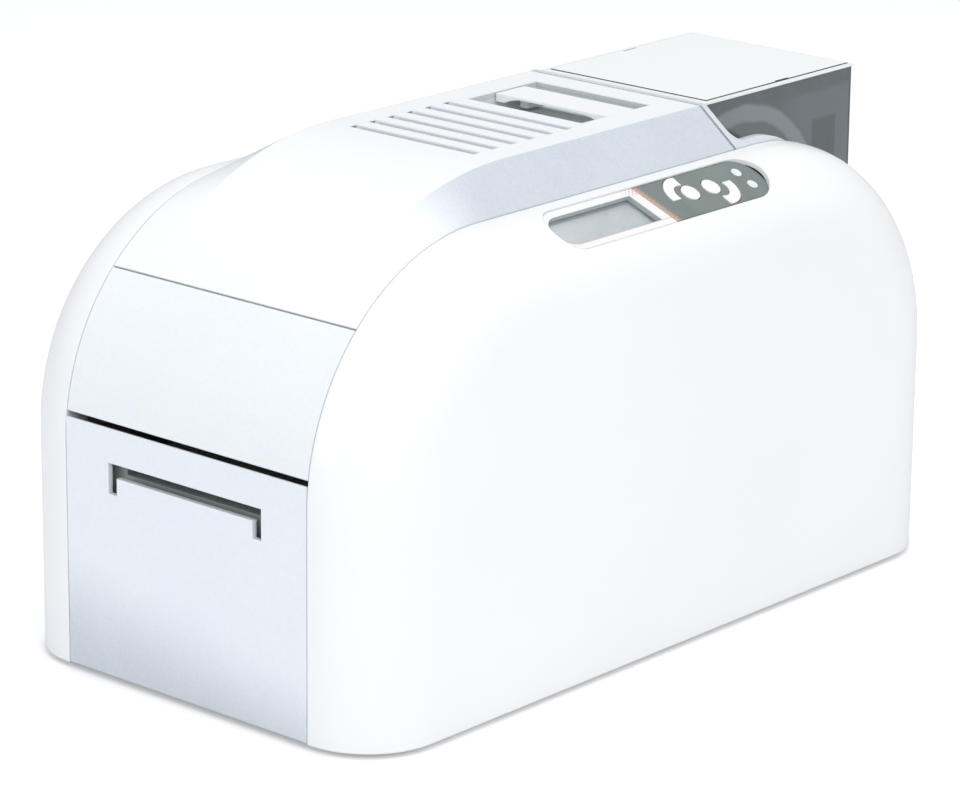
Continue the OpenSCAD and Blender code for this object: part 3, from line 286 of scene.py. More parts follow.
def flakePaint(name, look):
    # pearl paint over plastic: fine flake, soft cloudiness, rubbed edges that on the door are painted
    # highlight lines, painted light across a face
    material, tree, shader = startFinish(name, look)
    where = addNode(tree, "TexCoord").outputs["Object"]
    x, y, z = axes(tree, where)
    flake = addNode(tree, "TexVoronoi", {"Vector": where, "Scale": look["flake"], "Randomness": 1.0})
    cloud = addNode(tree, "TexNoise", {"Vector": where, "Scale": look["cloud"], "Detail": 6.0,
        "Roughness": 0.7})
    fine = addNode(tree, "TexNoise", {"Vector": where, "Scale": 420.0, "Detail": 3.0, "Roughness": 0.6})
    marks = useGroup(tree, handling, smearScale=9.0, scratchScale=50.0)
    edge = useGroup(tree, edgeWearAndHighlight, radius=look.get("edge", 0.0006), patch=70.0)
    sparkle = axes(tree, flake.outputs["Color"])[0]
    mottle = sums(tree, "MULTIPLY_ADD", sparkle, 0.25, sums(tree, "MULTIPLY", cloud.outputs[0], 0.4))
    mottle = sums(tree, "MULTIPLY_ADD", fine.outputs[0], 0.35, mottle)
    mottle = between(tree, mottle, 0.28, 0.72)
    colour = blendColour(tree, mottle, look["tint"], look["second"])
    if "band" in look:
        side = between(tree, sums(tree, "ABSOLUTE", x), 0.0606, 0.0614)
        level = between(tree, y, *look["bandFade"])
        darker = blendColour(tree, mottle, look["band"], look["bandSecond"])
        colour = blendColour(tree, sums(tree, "MULTIPLY", side, level), colour, darker)
    # painted light: the face turns paler towards its top and its +x side
    if "far" in look:
        lightSlope = sums(tree, "MULTIPLY_ADD", x, 1.2, sums(tree, "MULTIPLY", z, 7.0))
        paintedLight = blendColour(tree, mottle, look["far"], look["farSecond"])
        colour = blendColour(tree, between(tree, lightSlope, 0.0, 0.42), colour, paintedLight)
    # groove interiors under the top: their walls get a greyer painted shade and their +x-facing end walls
    # a dark painted shadow
    if "vents" in look:
        half, front, rear, top, grooveShade, endShadow = look["vents"]
        sunk = sums(tree, "MULTIPLY", between(tree, z, top, top - 0.0003),
            between(tree, y, front - 0.0001, front))
        sunk = sums(tree, "MULTIPLY", sunk, between(tree, y, rear + 0.0001, rear))
        sunk = sums(tree, "MULTIPLY", sunk, between(tree, sums(tree, "ABSOLUTE", x), half + 0.0001, half))
        across = axes(tree, addNode(tree, "NewGeometry").outputs["Normal"])[0]
        colour = blendColour(tree, sums(tree, "MULTIPLY", sunk, 0.8), colour, grooveShade)
        colour = blendColour(tree, sums(tree, "MULTIPLY", sunk, between(tree, across, 0.4, 0.6)), colour,
            endShadow)
    if "well" in look:
        high = between(tree, z, look["well"][4], look["well"][4] - 0.0003)
        inWide = between(tree, sums(tree, "ABSOLUTE", x), look["well"][0] + 0.0003,
            look["well"][0] + 0.0001)
        inLong = sums(tree, "MULTIPLY", between(tree, y, look["well"][1] - 0.0003,
            look["well"][1] - 0.0001),
                      between(tree, y, look["well"][2] + 0.0003, look["well"][2] + 0.0001))
        inside = sums(tree, "MULTIPLY", high, sums(tree, "MULTIPLY", inWide, inLong))
        colour = blendColour(tree, sums(tree, "MULTIPLY", inside, 0.9), colour, look["well"][3])
    # rubbed edges; on the door these are painted highlight lines
    colour = blendColour(tree, sums(tree, "MULTIPLY", edge["mask"], look.get("wearAndHighlight", 0.35)), colour,
        look["edgeTint"])
    rough = sums(tree, "MULTIPLY_ADD", sparkle, 0.10, look["rough"])
    rough = sums(tree, "MULTIPLY_ADD", marks["smear"], 0.06, rough)
    height = sums(tree, "MULTIPLY_ADD", fine.outputs[0], 0.5, sums(tree, "MULTIPLY", sparkle, 0.5))
    endFinish(tree, shader, colour, rough, height, look["depth"], edge["normal"])
    return material


def rolledMetal(name, look):
    # sheet or bar stock: rolling or brushing lines, blotches, bright rubbed edges
    material, tree, shader = startFinish(name, look)
    lines = useGroup(tree, streaks, stretch=look["stretch"], scale=look.get("lines", 700.0))
    marks = useGroup(tree, handling, smearScale=look.get("blotch", 22.0), scratchScale=70.0)
    edge = useGroup(tree, edgeWearAndHighlight, radius=look.get("edge", 0.0004), patch=120.0)
    colour = blendColour(tree, lines["tone"], look["tint"], look["second"])
    colour = blendColour(tree, sums(tree, "MULTIPLY", marks["smear"], look.get("stain", 0.25)), colour,
        look["stainTint"])
    colour = blendColour(tree, sums(tree, "MULTIPLY", edge["mask"], 0.6), colour, look["edgeTint"])
    colour = blendColour(tree, sums(tree, "MULTIPLY", marks["scratch"], 0.5), colour, look["edgeTint"])
    rough = sums(tree, "MULTIPLY_ADD", lines["tone"], 0.12, look["rough"])
    rough = sums(tree, "MULTIPLY_ADD", marks["smear"], 0.1, rough)
    height = sums(tree, "MULTIPLY_ADD", marks["scratch"], -0.6, lines["height"])
    endFinish(tree, shader, colour, rough, height, look["depth"], edge["normal"])
    return material


def softRubber(name, look):
    # rubber: matt bloom, pitted skin, shine where it has run against something
    material, tree, shader = startFinish(name, look)
    grain = useGroup(tree, mouldGrain, scale=look["grain"], flow=30.0)
    marks = useGroup(tree, handling, smearScale=24.0, scratchScale=40.0)
    edge = useGroup(tree, edgeWearAndHighlight, radius=0.0005, patch=140.0)
    colour = blendColour(tree, grain["tone"], look["tint"], look["second"])
    colour = blendColour(tree, sums(tree, "MULTIPLY", grain["speck"], 0.25), colour, look["edgeTint"])
    colour = blendColour(tree, sums(tree, "MULTIPLY", edge["mask"], 0.5), colour, look["edgeTint"])
    colour = blendColour(tree, sums(tree, "MULTIPLY", marks["dust"], 0.3), colour, shade(150, 146, 140))
    rough = sums(tree, "MULTIPLY_ADD", marks["smear"], -0.14, look["rough"])
    endFinish(tree, shader, colour, rough, grain["height"], look["depth"], edge["normal"])
    return material


# case: side covers, spine, hopper

whiteCover = {
    "tint": shade(248, 249, 251), "second": shade(251, 252, 253), "edgeTint": shade(236, 237, 238),
    "rough": 0.32, "smears": 0.04, "grain": 900.0, "flow": 5.0, "depth": 0.00002, "edge": 0.0009,
    "wearAndHighlight": 0.25, "dust": 0.03, "specks": 0.02, "scratches": 0.0, "nick": 0.0, "dustRough": 0.02,
    "fixed": {"Coat Weight": 0.25, "Coat Roughness": 0.12, "IOR": 1.49, "Subsurface Weight": 0.0},
}
spinePaint = {
    "tint": shade(248, 250, 252), "second": shade(251, 253, 254), "band": shade(198, 206, 216),
    "bandSecond": shade(212, 220, 229), "bandFade": (-0.165, -0.095), "edgeTint": shade(252, 253, 254),
    "well": (0.0408, 0.0216, 0.0792, shade(200, 206, 208), 0.2708),
    # vents: the groove box, then a painted shade for the groove walls and a dark painted shadow for their
    # end walls
    "vents": (0.0445, -0.0697, 0.0106, 0.2708, shade(228, 233, 240), shade(130, 136, 142)),
    "flake": 2600.0, "cloud": 16.0, "rough": 0.34, "depth": 0.00001, "edge": 0.0008, "wearAndHighlight": 0.3,
    "fixed": {"Metallic": 0.0, "Coat Weight": 0.3, "Coat Roughness": 0.2, "IOR": 1.5},
}
fasciaPaint = {key: value for key, value in spinePaint.items() if key not in ("band", "bandFade", "well",
    "vents")}
fasciaPaint.update({"tint": shade(238, 243, 248), "second": shade(246, 249, 252)})
# doorPaint: far and its second tone are painted light, paler towards the door's top right; its high edge
# wear with a near-white edge tint paints highlight lines along the door's edges
doorPaint = {
    "tint": shade(203, 211, 219), "second": shade(215, 222, 229), "far": shade(236, 242, 249),
    "farSecond": shade(243, 248, 253), "edgeTint": shade(250, 251, 253), "flake": 2200.0, "cloud": 22.0,
    "rough": 0.34, "depth": 0.00001, "edge": 0.0006, "wearAndHighlight": 0.7,
    "fixed": {"Metallic": 0.1, "Coat Weight": 0.2, "Coat Roughness": 0.2},
}
hopperPaint = {
    "tint": shade(210, 217, 224), "second": shade(226, 232, 238), "edgeTint": shade(246, 247, 249),
    "flake": 2600.0, "cloud": 24.0, "rough": 0.28, "depth": 0.00001, "edge": 0.0007, "wearAndHighlight": 0.6,
    "fixed": {"Metallic": 0.1, "Coat Weight": 0.35, "Coat Roughness": 0.12},
}
# flank: the lid's and rim's narrow seam faces get a dark painted shade
lidPlastic = dict(
    whiteCover, tint=shade(252, 254, 254), second=shade(253, 255, 255), edge=0.0003, dust=0.0,
    flank=(0.0600, 0.1000, shade(96, 104, 106)),
)
rimPlastic = dict(
    lidPlastic, tint=shade(246, 249, 250), second=shade(249, 251, 252),
    flank=(0.0570, 0.1080, shade(96, 104, 106))
)
pullPlastic = dict(whiteCover, tint=shade(251, 253, 254), second=shade(253, 254, 255), edge=0.0004,
    dust=0.0)
panelBack = dict(whiteCover, tint=shade(226, 228, 230), second=shade(233, 235, 236), rough=0.42,
    grain=1500.0, depth=0.00004)


def smokedAcrylic(name, look):
    # tinted clear wall, glossy both sides, with a painted reflection (a pale ring round a softer core), a
    # painted shadow block, a lighter lower zone and a darker rear edge
    material, tree, shader = startFinish(name, look)
    where = addNode(tree, "TexCoord").outputs["Object"]
    x, y, z = axes(tree, where)
    marks = useGroup(tree, handling, smearScale=18.0, scratchScale=80.0)
    edge = useGroup(tree, edgeWearAndHighlight, radius=0.0004, patch=60.0)
    flow = addNode(tree, "TexNoise", {"Vector": where, "Scale": 34.0, "Detail": 3.0})
    drift = sums(tree, "MULTIPLY_ADD", flow.outputs[0], 0.006, -0.003)
    dy = sums(tree, "SUBTRACT", y, look["reflectionShape"][0])
    dz = sums(tree, "SUBTRACT", z, look["reflectionShape"][1])
    far = sums(tree, "SQRT", sums(tree, "ADD", sums(tree, "MULTIPLY", dy, dy),
        sums(tree, "MULTIPLY", dz, dz)))
    far = sums(tree, "ADD", far, drift)
    # painted reflection: a pale ring round a softer core, centred on a point on the wall
    ring = between(tree, far, look["reflectionShape"][3] + 0.0015, look["reflectionShape"][3] - 0.0015)
    core = between(tree, far, look["reflectionShape"][2] + 0.0015, look["reflectionShape"][2] - 0.0015)
    lower = between(tree, sums(tree, "ADD", z, drift), 0.2620, 0.2575)
    shadow = sums(tree, "MULTIPLY", between(tree, y, 0.2035, 0.2055), between(tree, y, 0.2270, 0.2255))
    shadow = sums(tree, "MULTIPLY", shadow, between(tree, z, 0.2450, 0.2420))
    colour = blendColour(tree, between(tree, flow.outputs[0], 0.35, 0.65), look["tint"], look["second"])
    colour = blendColour(tree, sums(tree, "MULTIPLY", lower, between(tree, y, 0.165, 0.195)), colour,
        look["middle"])
    colour = blendColour(tree, ring, colour, look["reflectionTint"])
    colour = blendColour(tree, core, colour, look["core"])
    colour = blendColour(tree, sums(tree, "MULTIPLY", shadow, 0.8), colour, look["deep"])
    colour = blendColour(tree, between(tree, y, 0.2380, 0.2386), colour, look["deep"])
    colour = blendColour(tree, sums(tree, "MULTIPLY", edge["mask"], 0.4), colour, look["edgeTint"])
    rough = sums(tree, "MULTIPLY_ADD", marks["smear"], 0.04, look["rough"])
    height = sums(tree, "MULTIPLY_ADD", marks["scratch"], -0.2, flow.outputs[0])
    endFinish(tree, shader, colour, rough, height, look["depth"], edge["normal"])
    return material


# colours for a painted reflection (the pale ring and its core), a painted shadow block and darker rear
# edge (deep), and a lighter lower zone (middle)
smokedWall = {
    "tint": shade(66, 77, 79), "second": shade(74, 86, 88), "middle": shade(84, 98, 102),
    "reflectionTint": shade(124, 135, 139),
    "core": shade(84, 93, 93), "deep": shade(52, 63, 64), "edgeTint": shade(140, 150, 150),
    "rough": 0.05, "depth": 0.00001, "reflectionShape": (0.138, 0.188, 0.066, 0.075),
    "fixed": {"IOR": 1.6, "Coat Weight": 1.0, "Coat Roughness": 0.03, "Alpha": 0.94},
}

# control panel

# inside: painted shade for the window recess walls below the panel face
panelLook = {
    "white": shade(243, 244, 245), "dark": shade(104, 117, 114), "darkSecond": shade(118, 131, 127),
    "copper": shade(206, 140, 116), "inside": shade(176, 184, 187), "line": shade(214, 150, 130),
    "outline": shade(58, 64, 63), "dotPitch": 2.1, "slant": 0.2, "split": 241.3,
}


def copperDots(tree, across, along, size):
    # a halftone of dots on a grid that follows the slanting border
    step = panelLook["dotPitch"]
    u = sums(tree, "DIVIDE", sums(tree, "ADD", across, along), step * 1.414)
    v = sums(tree, "DIVIDE", sums(tree, "SUBTRACT", across, along), step * 1.414)
    du = sums(tree, "SUBTRACT", sums(tree, "FRACT", u), 0.5)
    dv = sums(tree, "SUBTRACT", sums(tree, "FRACT", v), 0.5)
    far = sums(tree, "SQRT", sums(tree, "ADD", sums(tree, "MULTIPLY", du, du),
        sums(tree, "MULTIPLY", dv, dv)))
    return between(tree, sums(tree, "SUBTRACT", size, far), -0.06, 0.06)


def panelFrameFinish(name):
    look = {"tint": panelLook["white"], "fixed": {"Coat Weight": 0.5, "Coat Roughness": 0.06, "IOR": 1.49}}
    material, tree, shader = startFinish(name, look)
    at = useGroup(tree, panelPlace)
    marks = useGroup(tree, handling, smearScale=30.0, scratchScale=90.0)
    grain = useGroup(tree, mouldGrain, scale=1500.0, flow=30.0)
    edge = useGroup(tree, edgeWearAndHighlight, radius=0.0003, patch=200.0)
    colour = blendColour(tree, grain["tone"], panelLook["white"], shade(247, 247, 247))
    skewed = sums(tree, "MULTIPLY_ADD", at["across"], -panelLook["slant"], at["along"])
    size = between(tree, skewed, 228.0, 243.0, 0.0, 0.5, smooth=False)
    upper = between(tree, at["across"], -9.4, -10.2)
    dots = sums(tree, "MULTIPLY", copperDots(tree, at["across"], at["along"], size), upper)
    colour = blendColour(tree, sums(tree, "MULTIPLY", dots, 0.55), colour, panelLook["copper"])
    before = sums(tree, "MINIMUM", sums(tree, "SUBTRACT", at["along"], 171.4), 0.0)
    ring = sums(tree, "ADD", sums(tree, "MULTIPLY", before, before),
        sums(tree, "MULTIPLY", at["across"], at["across"]))
    ring = sums(tree, "SQRT", ring)
    line = sums(tree, "MULTIPLY", between(tree, ring, 10.7, 10.85), between(tree, ring, 11.5, 11.3))
    line = sums(tree, "MULTIPLY", line, between(tree, at["across"], -3.0, 2.0))
    colour = blendColour(tree, sums(tree, "MULTIPLY", line, 0.6), colour, panelLook["line"])
    # faces below the panel face, the window recess walls, get painted shade
    belowFaceShade = between(tree, at["out"], -0.35, -0.2, 1.0, 0.0)
    colour = blendColour(tree, sums(tree, "MULTIPLY", belowFaceShade, 0.9), colour, panelLook["inside"])
    colour = blendColour(tree, sums(tree, "MULTIPLY", edge["mask"], 0.2), colour, shade(224, 224, 224))
    rough = sums(tree, "MULTIPLY_ADD", marks["smear"], 0.08, 0.2)
    endFinish(tree, shader, colour, rough, grain["height"], 0.00001, edge["normal"])
    return material


def keypadFinish(name):
    look = {"tint": panelLook["dark"], "fixed": {"Coat Weight": 0.8, "Coat Roughness": 0.04, "IOR": 1.5}}
    material, tree, shader = startFinish(name, look)
    at = useGroup(tree, panelPlace)
    marks = useGroup(tree, handling, smearScale=40.0, scratchScale=110.0)
    grain = useGroup(tree, mouldGrain, scale=1600.0, flow=26.0)
    edge = useGroup(tree, edgeWearAndHighlight, radius=0.0003, patch=240.0)
    colour = blendColour(tree, grain["tone"], panelLook["dark"], panelLook["darkSecond"])
    skewed = sums(tree, "MULTIPLY_ADD", at["across"], -panelLook["slant"], at["along"])
    past = sums(tree, "SUBTRACT", skewed, panelLook["split"])
    colour = blendColour(tree, between(tree, past, 0.0, 5.5, 0.7, 0.0), colour, shade(222, 206, 200))
    size = between(tree, past, 0.0, 8.5, 0.52, 0.0, smooth=False)
    dots = copperDots(tree, at["across"], at["along"], size)
    colour = blendColour(tree, sums(tree, "MULTIPLY", dots, 0.8), colour, panelLook["copper"])
    rim = between(tree, sums(tree, "ABSOLUTE", at["across"]), 14.7, 15.0)
    colour = blendColour(tree, sums(tree, "MULTIPLY", rim, 0.8), colour, panelLook["outline"])
    # the plate's faces below the panel face get a dark painted shade
    belowFaceShade = between(tree, at["out"], -0.4, -0.2, 1.0, 0.0)
    colour = blendColour(tree, belowFaceShade, colour, shade(60, 68, 68))
    colour = blendColour(tree, sums(tree, "MULTIPLY", edge["mask"], 0.35), colour, panelLook["outline"])
    rough = sums(tree, "MULTIPLY_ADD", marks["smear"], 0.12, 0.16)
    endFinish(tree, shader, colour, rough, grain["height"], 0.00001, edge["normal"])
    return material


def displayFinish(name):
    # reflective display: fine square cells, paler towards its front end, and a dark border along its long
    # sides, partly a printed bezel and partly painted shade under the recess wall
    look = {"tint": shade(196, 205, 207), "fixed": {"IOR": 1.5, "Coat Weight": 0.5, "Coat Roughness": 0.1}}
    material, tree, shader = startFinish(name, look)
    at = useGroup(tree, panelPlace)
    grain = useGroup(tree, mouldGrain, scale=2400.0, flow=40.0)
    cellA = sums(tree, "ABSOLUTE", sums(tree, "SUBTRACT",
        sums(tree, "FRACT", sums(tree, "MULTIPLY", at["across"], 1.8)), 0.5))
    cellB = sums(tree, "ABSOLUTE", sums(tree, "SUBTRACT",
        sums(tree, "FRACT", sums(tree, "MULTIPLY", at["along"], 1.8)), 0.5))
    grid = between(tree, sums(tree, "MAXIMUM", cellA, cellB), 0.42, 0.48)
    ramp = between(tree, at["along"], 165.0, 232.0, smooth=False)
    colour = blendColour(tree, ramp, shade(228, 234, 237), shade(200, 208, 211))
    colour = blendColour(tree, sums(tree, "MULTIPLY", grain["tone"], 0.25), colour, shade(220, 227, 230))
    colour = blendColour(tree, sums(tree, "MULTIPLY", grid, 0.12), colour, shade(120, 130, 130))
    # dark border: printed bezel and painted shade under the recess wall
    side = between(tree, sums(tree, "ABSOLUTE", at["across"]), 9.4, 9.9)
    colour = blendColour(tree, sums(tree, "MULTIPLY", side, 0.8), colour, shade(146, 155, 157))
    rough = sums(tree, "MULTIPLY_ADD", grain["tone"], 0.1, 0.25)
    endFinish(tree, shader, colour, rough, grid, 0.00001)
    return material


def windowFinish(name):
    look = {"tint": shade(205, 214, 218), "fixed": {"IOR": 1.49, "Alpha": 0.22, "Coat Weight": 0.6,
        "Coat Roughness": 0.03}}
    material, tree, shader = startFinish(name, look)
    marks = useGroup(tree, handling, smearScale=36.0, scratchScale=120.0)
    grain = useGroup(tree, mouldGrain, scale=900.0, flow=30.0)
    colour = blendColour(tree, grain["tone"], look["tint"], shade(222, 229, 232))
    rough = sums(tree, "MULTIPLY_ADD", marks["smear"], 0.08, 0.05)
    endFinish(tree, shader, colour, rough, sums(tree, "SUBTRACT", grain["height"], marks["scratch"]),
        0.000005)
    return material


keyPlastic = dict(
    whiteCover, tint=shade(250, 249, 249), second=shade(252, 251, 251), edgeTint=shade(226, 206, 202),
    edge=0.0008, wearAndHighlight=0.5, rough=0.24, flow=60.0, grain=1800.0, depth=0.00001,
)
crescentPlastic = dict(keyPlastic, tint=shade(250, 246, 246), second=shade(252, 249, 249))


def statusLightFinish(name):
    look = {"tint": shade(226, 236, 240), "fixed": {"IOR": 1.5, "Coat Weight": 0.6, "Coat Roughness": 0.05,
        "Emission Strength": 0.0}}
    material, tree, shader = startFinish(name, look)
    at = useGroup(tree, panelPlace)
    grain = useGroup(tree, mouldGrain, scale=1400.0, flow=80.0)
    edge = useGroup(tree, edgeWearAndHighlight, radius=0.0004, patch=300.0)
    colour = blendColour(tree, grain["tone"], look["tint"], shade(240, 246, 248))
    deep = between(tree, at["out"], -0.4, 0.1, 1.0, 0.0)
    colour = blendColour(tree, sums(tree, "MULTIPLY", deep, 0.6), colour, shade(150, 166, 172))
    colour = blendColour(tree, sums(tree, "MULTIPLY", edge["mask"], 0.5), colour, shade(250, 252, 252))
    endFinish(tree, shader, colour, sums(tree, "MULTIPLY_ADD", grain["tone"], 0.08, 0.12), grain["height"],
        0.00001, edge["normal"])
    return material

# frame, path and drive

greyMoulding = {
    "tint": shade(92, 96, 99), "second": shade(106, 110, 112), "edgeTint": shade(150, 153, 154),
    "rough": 0.5,
    "grain": 1500.0, "depth": 0.00006, "wearAndHighlight": 0.4, "dust": 0.25, "fixed": {"IOR": 1.5},
}
trayMoulding = dict(greyMoulding, tint=shade(70, 73, 76), second=shade(82, 85, 88), dust=0.3)
linerMoulding = dict(greyMoulding, tint=shade(146, 150, 153), second=shade(158, 162, 164),
    edgeTint=shade(190, 192, 193))
wellMoulding = dict(greyMoulding, tint=shade(214, 220, 221), second=shade(224, 229, 230), rough=0.42,
    wearAndHighlight=0.3, dust=0.1)
chuteMoulding = dict(greyMoulding, tint=shade(172, 180, 177), second=shade(184, 191, 188), rough=0.4,
    dust=0.1)
blackMoulding = dict(greyMoulding, tint=shade(34, 36, 38), second=shade(44, 46, 48),
    edgeTint=shade(96, 98, 100), rough=0.45)
magazineMoulding = dict(greyMoulding, tint=shade(58, 61, 66), second=shade(68, 71, 76), rough=0.4)
cassetteMoulding = dict(greyMoulding, tint=shade(112, 124, 134), second=shade(122, 133, 142), rough=0.38,
    specks=0.15)
steelSheet = {
    "tint": shade(176, 179, 182), "second": shade(202, 204, 206), "stainTint": shade(160, 164, 170),
    "edgeTint": shade(228, 229, 230),
    "stretch": (1.0, 0.04, 1.0), "lines": 800.0, "rough": 0.30, "depth": 0.00003, "blotch": 34.0,
    "fixed": {"Metallic": 0.9},
}
turnedSteel = dict(steelSheet, stretch=(1.0, 0.02, 0.02), lines=1600.0, tint=shade(184, 186, 188),
    second=shade(212, 213, 214), rough=0.22)
weightSteel = dict(steelSheet, stretch=(0.05, 1.0, 1.0), rough=0.26)
boxSteel = dict(steelSheet, stretch=(1.0, 1.0, 1.0), lines=60.0, blotch=60.0, stain=0.4,
    stainTint=shade(148, 154, 160))


def bronzeFinish(name):
    # sintered bronze: porous, oil-dark patches, bright where the shaft runs
    look = {"tint": shade(176, 132, 72), "fixed": {"Metallic": 0.9}}
    material, tree, shader = startFinish(name, look)
    grain = useGroup(tree, mouldGrain, scale=5200.0, flow=160.0)
    edge = useGroup(tree, edgeWearAndHighlight, radius=0.0003, patch=300.0)
    colour = blendColour(tree, grain["tone"], look["tint"], shade(142, 100, 54))
    colour = blendColour(tree, sums(tree, "MULTIPLY", grain["speck"], 0.5), colour, shade(70, 52, 34))
    colour = blendColour(tree, sums(tree, "MULTIPLY", edge["mask"], 0.7), colour, shade(222, 186, 120))
    rough = sums(tree, "MULTIPLY_ADD", grain["tone"], 0.2, 0.32)
    endFinish(tree, shader, colour, rough, grain["height"], 0.00005, edge["normal"])
    return material


def rollerFinish(name, look):
    # rubber sleeve on a turned steel shaft with a moulded pulley at one end
    material, tree, shader = startFinish(name, look)
    where = addNode(tree, "TexCoord").outputs["Object"]
    x = axes(tree, where)[0]
    sleeve = between(tree, sums(tree, "ABSOLUTE", x), look["half"] + 0.0001, look["half"] - 0.0001)
    pulley = sums(tree, "MULTIPLY", between(tree, x, 0.0492, 0.0494), look.get("pulley", 1.0))
    grain = useGroup(tree, mouldGrain, scale=2600.0, flow=40.0)
    rings = useGroup(tree, streaks, stretch=(1.0, 0.02, 0.02), scale=1700.0)
    marks = useGroup(tree, handling, smearScale=30.0, scratchScale=60.0)
    edge = useGroup(tree, edgeWearAndHighlight, radius=0.0004, patch=180.0)
    steel = blendColour(tree, rings["tone"], shade(182, 184, 187), shade(212, 213, 215))
    rubber = blendColour(tree, grain["tone"], look["tint"], look["second"])
    rubber = blendColour(tree, sums(tree, "MULTIPLY", marks["smear"], 0.3), rubber, look["polished"])
    hub = blendColour(tree, grain["tone"], shade(46, 48, 50), shade(58, 60, 62))
    colour = blendColour(tree, sleeve, steel, rubber)
    colour = blendColour(tree, pulley, colour, hub)
    colour = blendColour(tree, sums(tree, "MULTIPLY", edge["mask"], 0.4), colour, shade(200, 200, 200))
    bare = sums(tree, "SUBTRACT", sums(tree, "SUBTRACT", 1.0, sleeve), pulley, clamp=True)
    plug(tree, sums(tree, "MULTIPLY", bare, 0.92), shader.inputs["Metallic"])
    rough = sums(tree, "MULTIPLY_ADD", bare, -0.36, 0.6)
    rough = sums(tree, "MULTIPLY_ADD", marks["smear"], -0.06, rough)
    height = sums(tree, "ADD", sums(tree, "MULTIPLY", grain["height"], sleeve),
        sums(tree, "MULTIPLY", rings["height"], bare))
    endFinish(tree, shader, colour, rough, height, 0.00005, edge["normal"])
    return material


feedRubber = {"tint": shade(52, 54, 58), "second": shade(64, 66, 70), "polished": shade(84, 86, 90),
    "half": 0.024}
platenRubber = dict(feedRubber, tint=shade(26, 27, 29), second=shade(34, 35, 38),
    polished=shade(58, 60, 63), half=0.0255)
pickRubber = dict(feedRubber, half=0.018)
pinchRubber = dict(feedRubber, tint=shade(92, 94, 96), second=shade(104, 106, 108),
    polished=shade(126, 128, 130), pulley=0.0)
stickyRubber = dict(feedRubber, tint=shade(122, 168, 196), second=shade(142, 184, 208),
    polished=shade(172, 206, 224), half=0.025, pulley=0.0)


def beltFinish(name, look):
    # moulded teeth across the belt, a woven back and a little glaze on the tooth flanks
    material, tree, shader = startFinish(name, look)
    where = addNode(tree, "TexCoord").outputs["Object"]
    x, y, z = axes(tree, where)
    run = y if look["along"] == "y" else z
    teeth = addNode(tree, "Math", {0: sums(tree, "MULTIPLY", run, math.tau / look["pitch"])},
        operation="SINE").outputs[0]
    grain = useGroup(tree, mouldGrain, scale=2600.0, flow=60.0)
    weave = sums(tree, "MULTIPLY", addNode(tree, "Math", {0: sums(tree, "MULTIPLY", x, 9000.0)},
        operation="SINE").outputs[0], 0.2)
    edge = useGroup(tree, edgeWearAndHighlight, radius=0.0003, patch=260.0)
    colour = blendColour(tree, grain["tone"], shade(26, 27, 28), shade(38, 39, 41))
    colour = blendColour(tree, sums(tree, "MULTIPLY", between(tree, teeth, 0.2, 0.9), 0.5), colour,
        shade(62, 63, 65))
    colour = blendColour(tree, sums(tree, "MULTIPLY", edge["mask"], 0.5), colour, shade(104, 104, 104))
    height = sums(tree, "ADD", between(tree, teeth, -0.4, 0.4),
        sums(tree, "ADD", weave, sums(tree, "MULTIPLY", grain["height"], 0.2)))
    endFinish(tree, shader, colour, sums(tree, "MULTIPLY_ADD", grain["tone"], 0.15, 0.5), height, 0.0003,
        edge["normal"])
    return material


driveBelt = {"tint": shade(30, 31, 32), "along": "y", "pitch": 0.00203, "fixed": {"IOR": 1.5}}
motorBelt = dict(driveBelt, along="z")


def motorFinish(name, look):
    # pressed can: dark lacquered body, plated end plates, rubbed corners
    material, tree, shader = startFinish(name, look)
    where = addNode(tree, "TexCoord").outputs["Object"]
    x = axes(tree, where)[0]
    plated = sums(tree, "MAXIMUM", between(tree, x, 0.0389, 0.0391), between(tree, x, 0.0181, 0.0179))
    grain = useGroup(tree, mouldGrain, scale=1300.0, flow=30.0)
    lines = useGroup(tree, streaks, stretch=(1.0, 0.05, 1.0), scale=700.0)
    edge = useGroup(tree, edgeWearAndHighlight, radius=0.0005, patch=140.0)
    body = blendColour(tree, grain["tone"], shade(34, 35, 37), shade(46, 47, 50))
    plate = blendColour(tree, lines["tone"], shade(166, 168, 170), shade(196, 198, 200))
    colour = blendColour(tree, plated, body, plate)
    colour = blendColour(tree, sums(tree, "MULTIPLY", edge["mask"], 0.7), colour, shade(206, 207, 208))
    plug(tree, sums(tree, "MULTIPLY", plated, 0.9), shader.inputs["Metallic"])
    rough = sums(tree, "MULTIPLY_ADD", plated, -0.12, 0.44)
    height = sums(tree, "ADD", sums(tree, "MULTIPLY", grain["height"], 0.7),
        sums(tree, "MULTIPLY", lines["height"], 0.3))
    endFinish(tree, shader, colour, rough, height, 0.00004, edge["normal"])
    return material


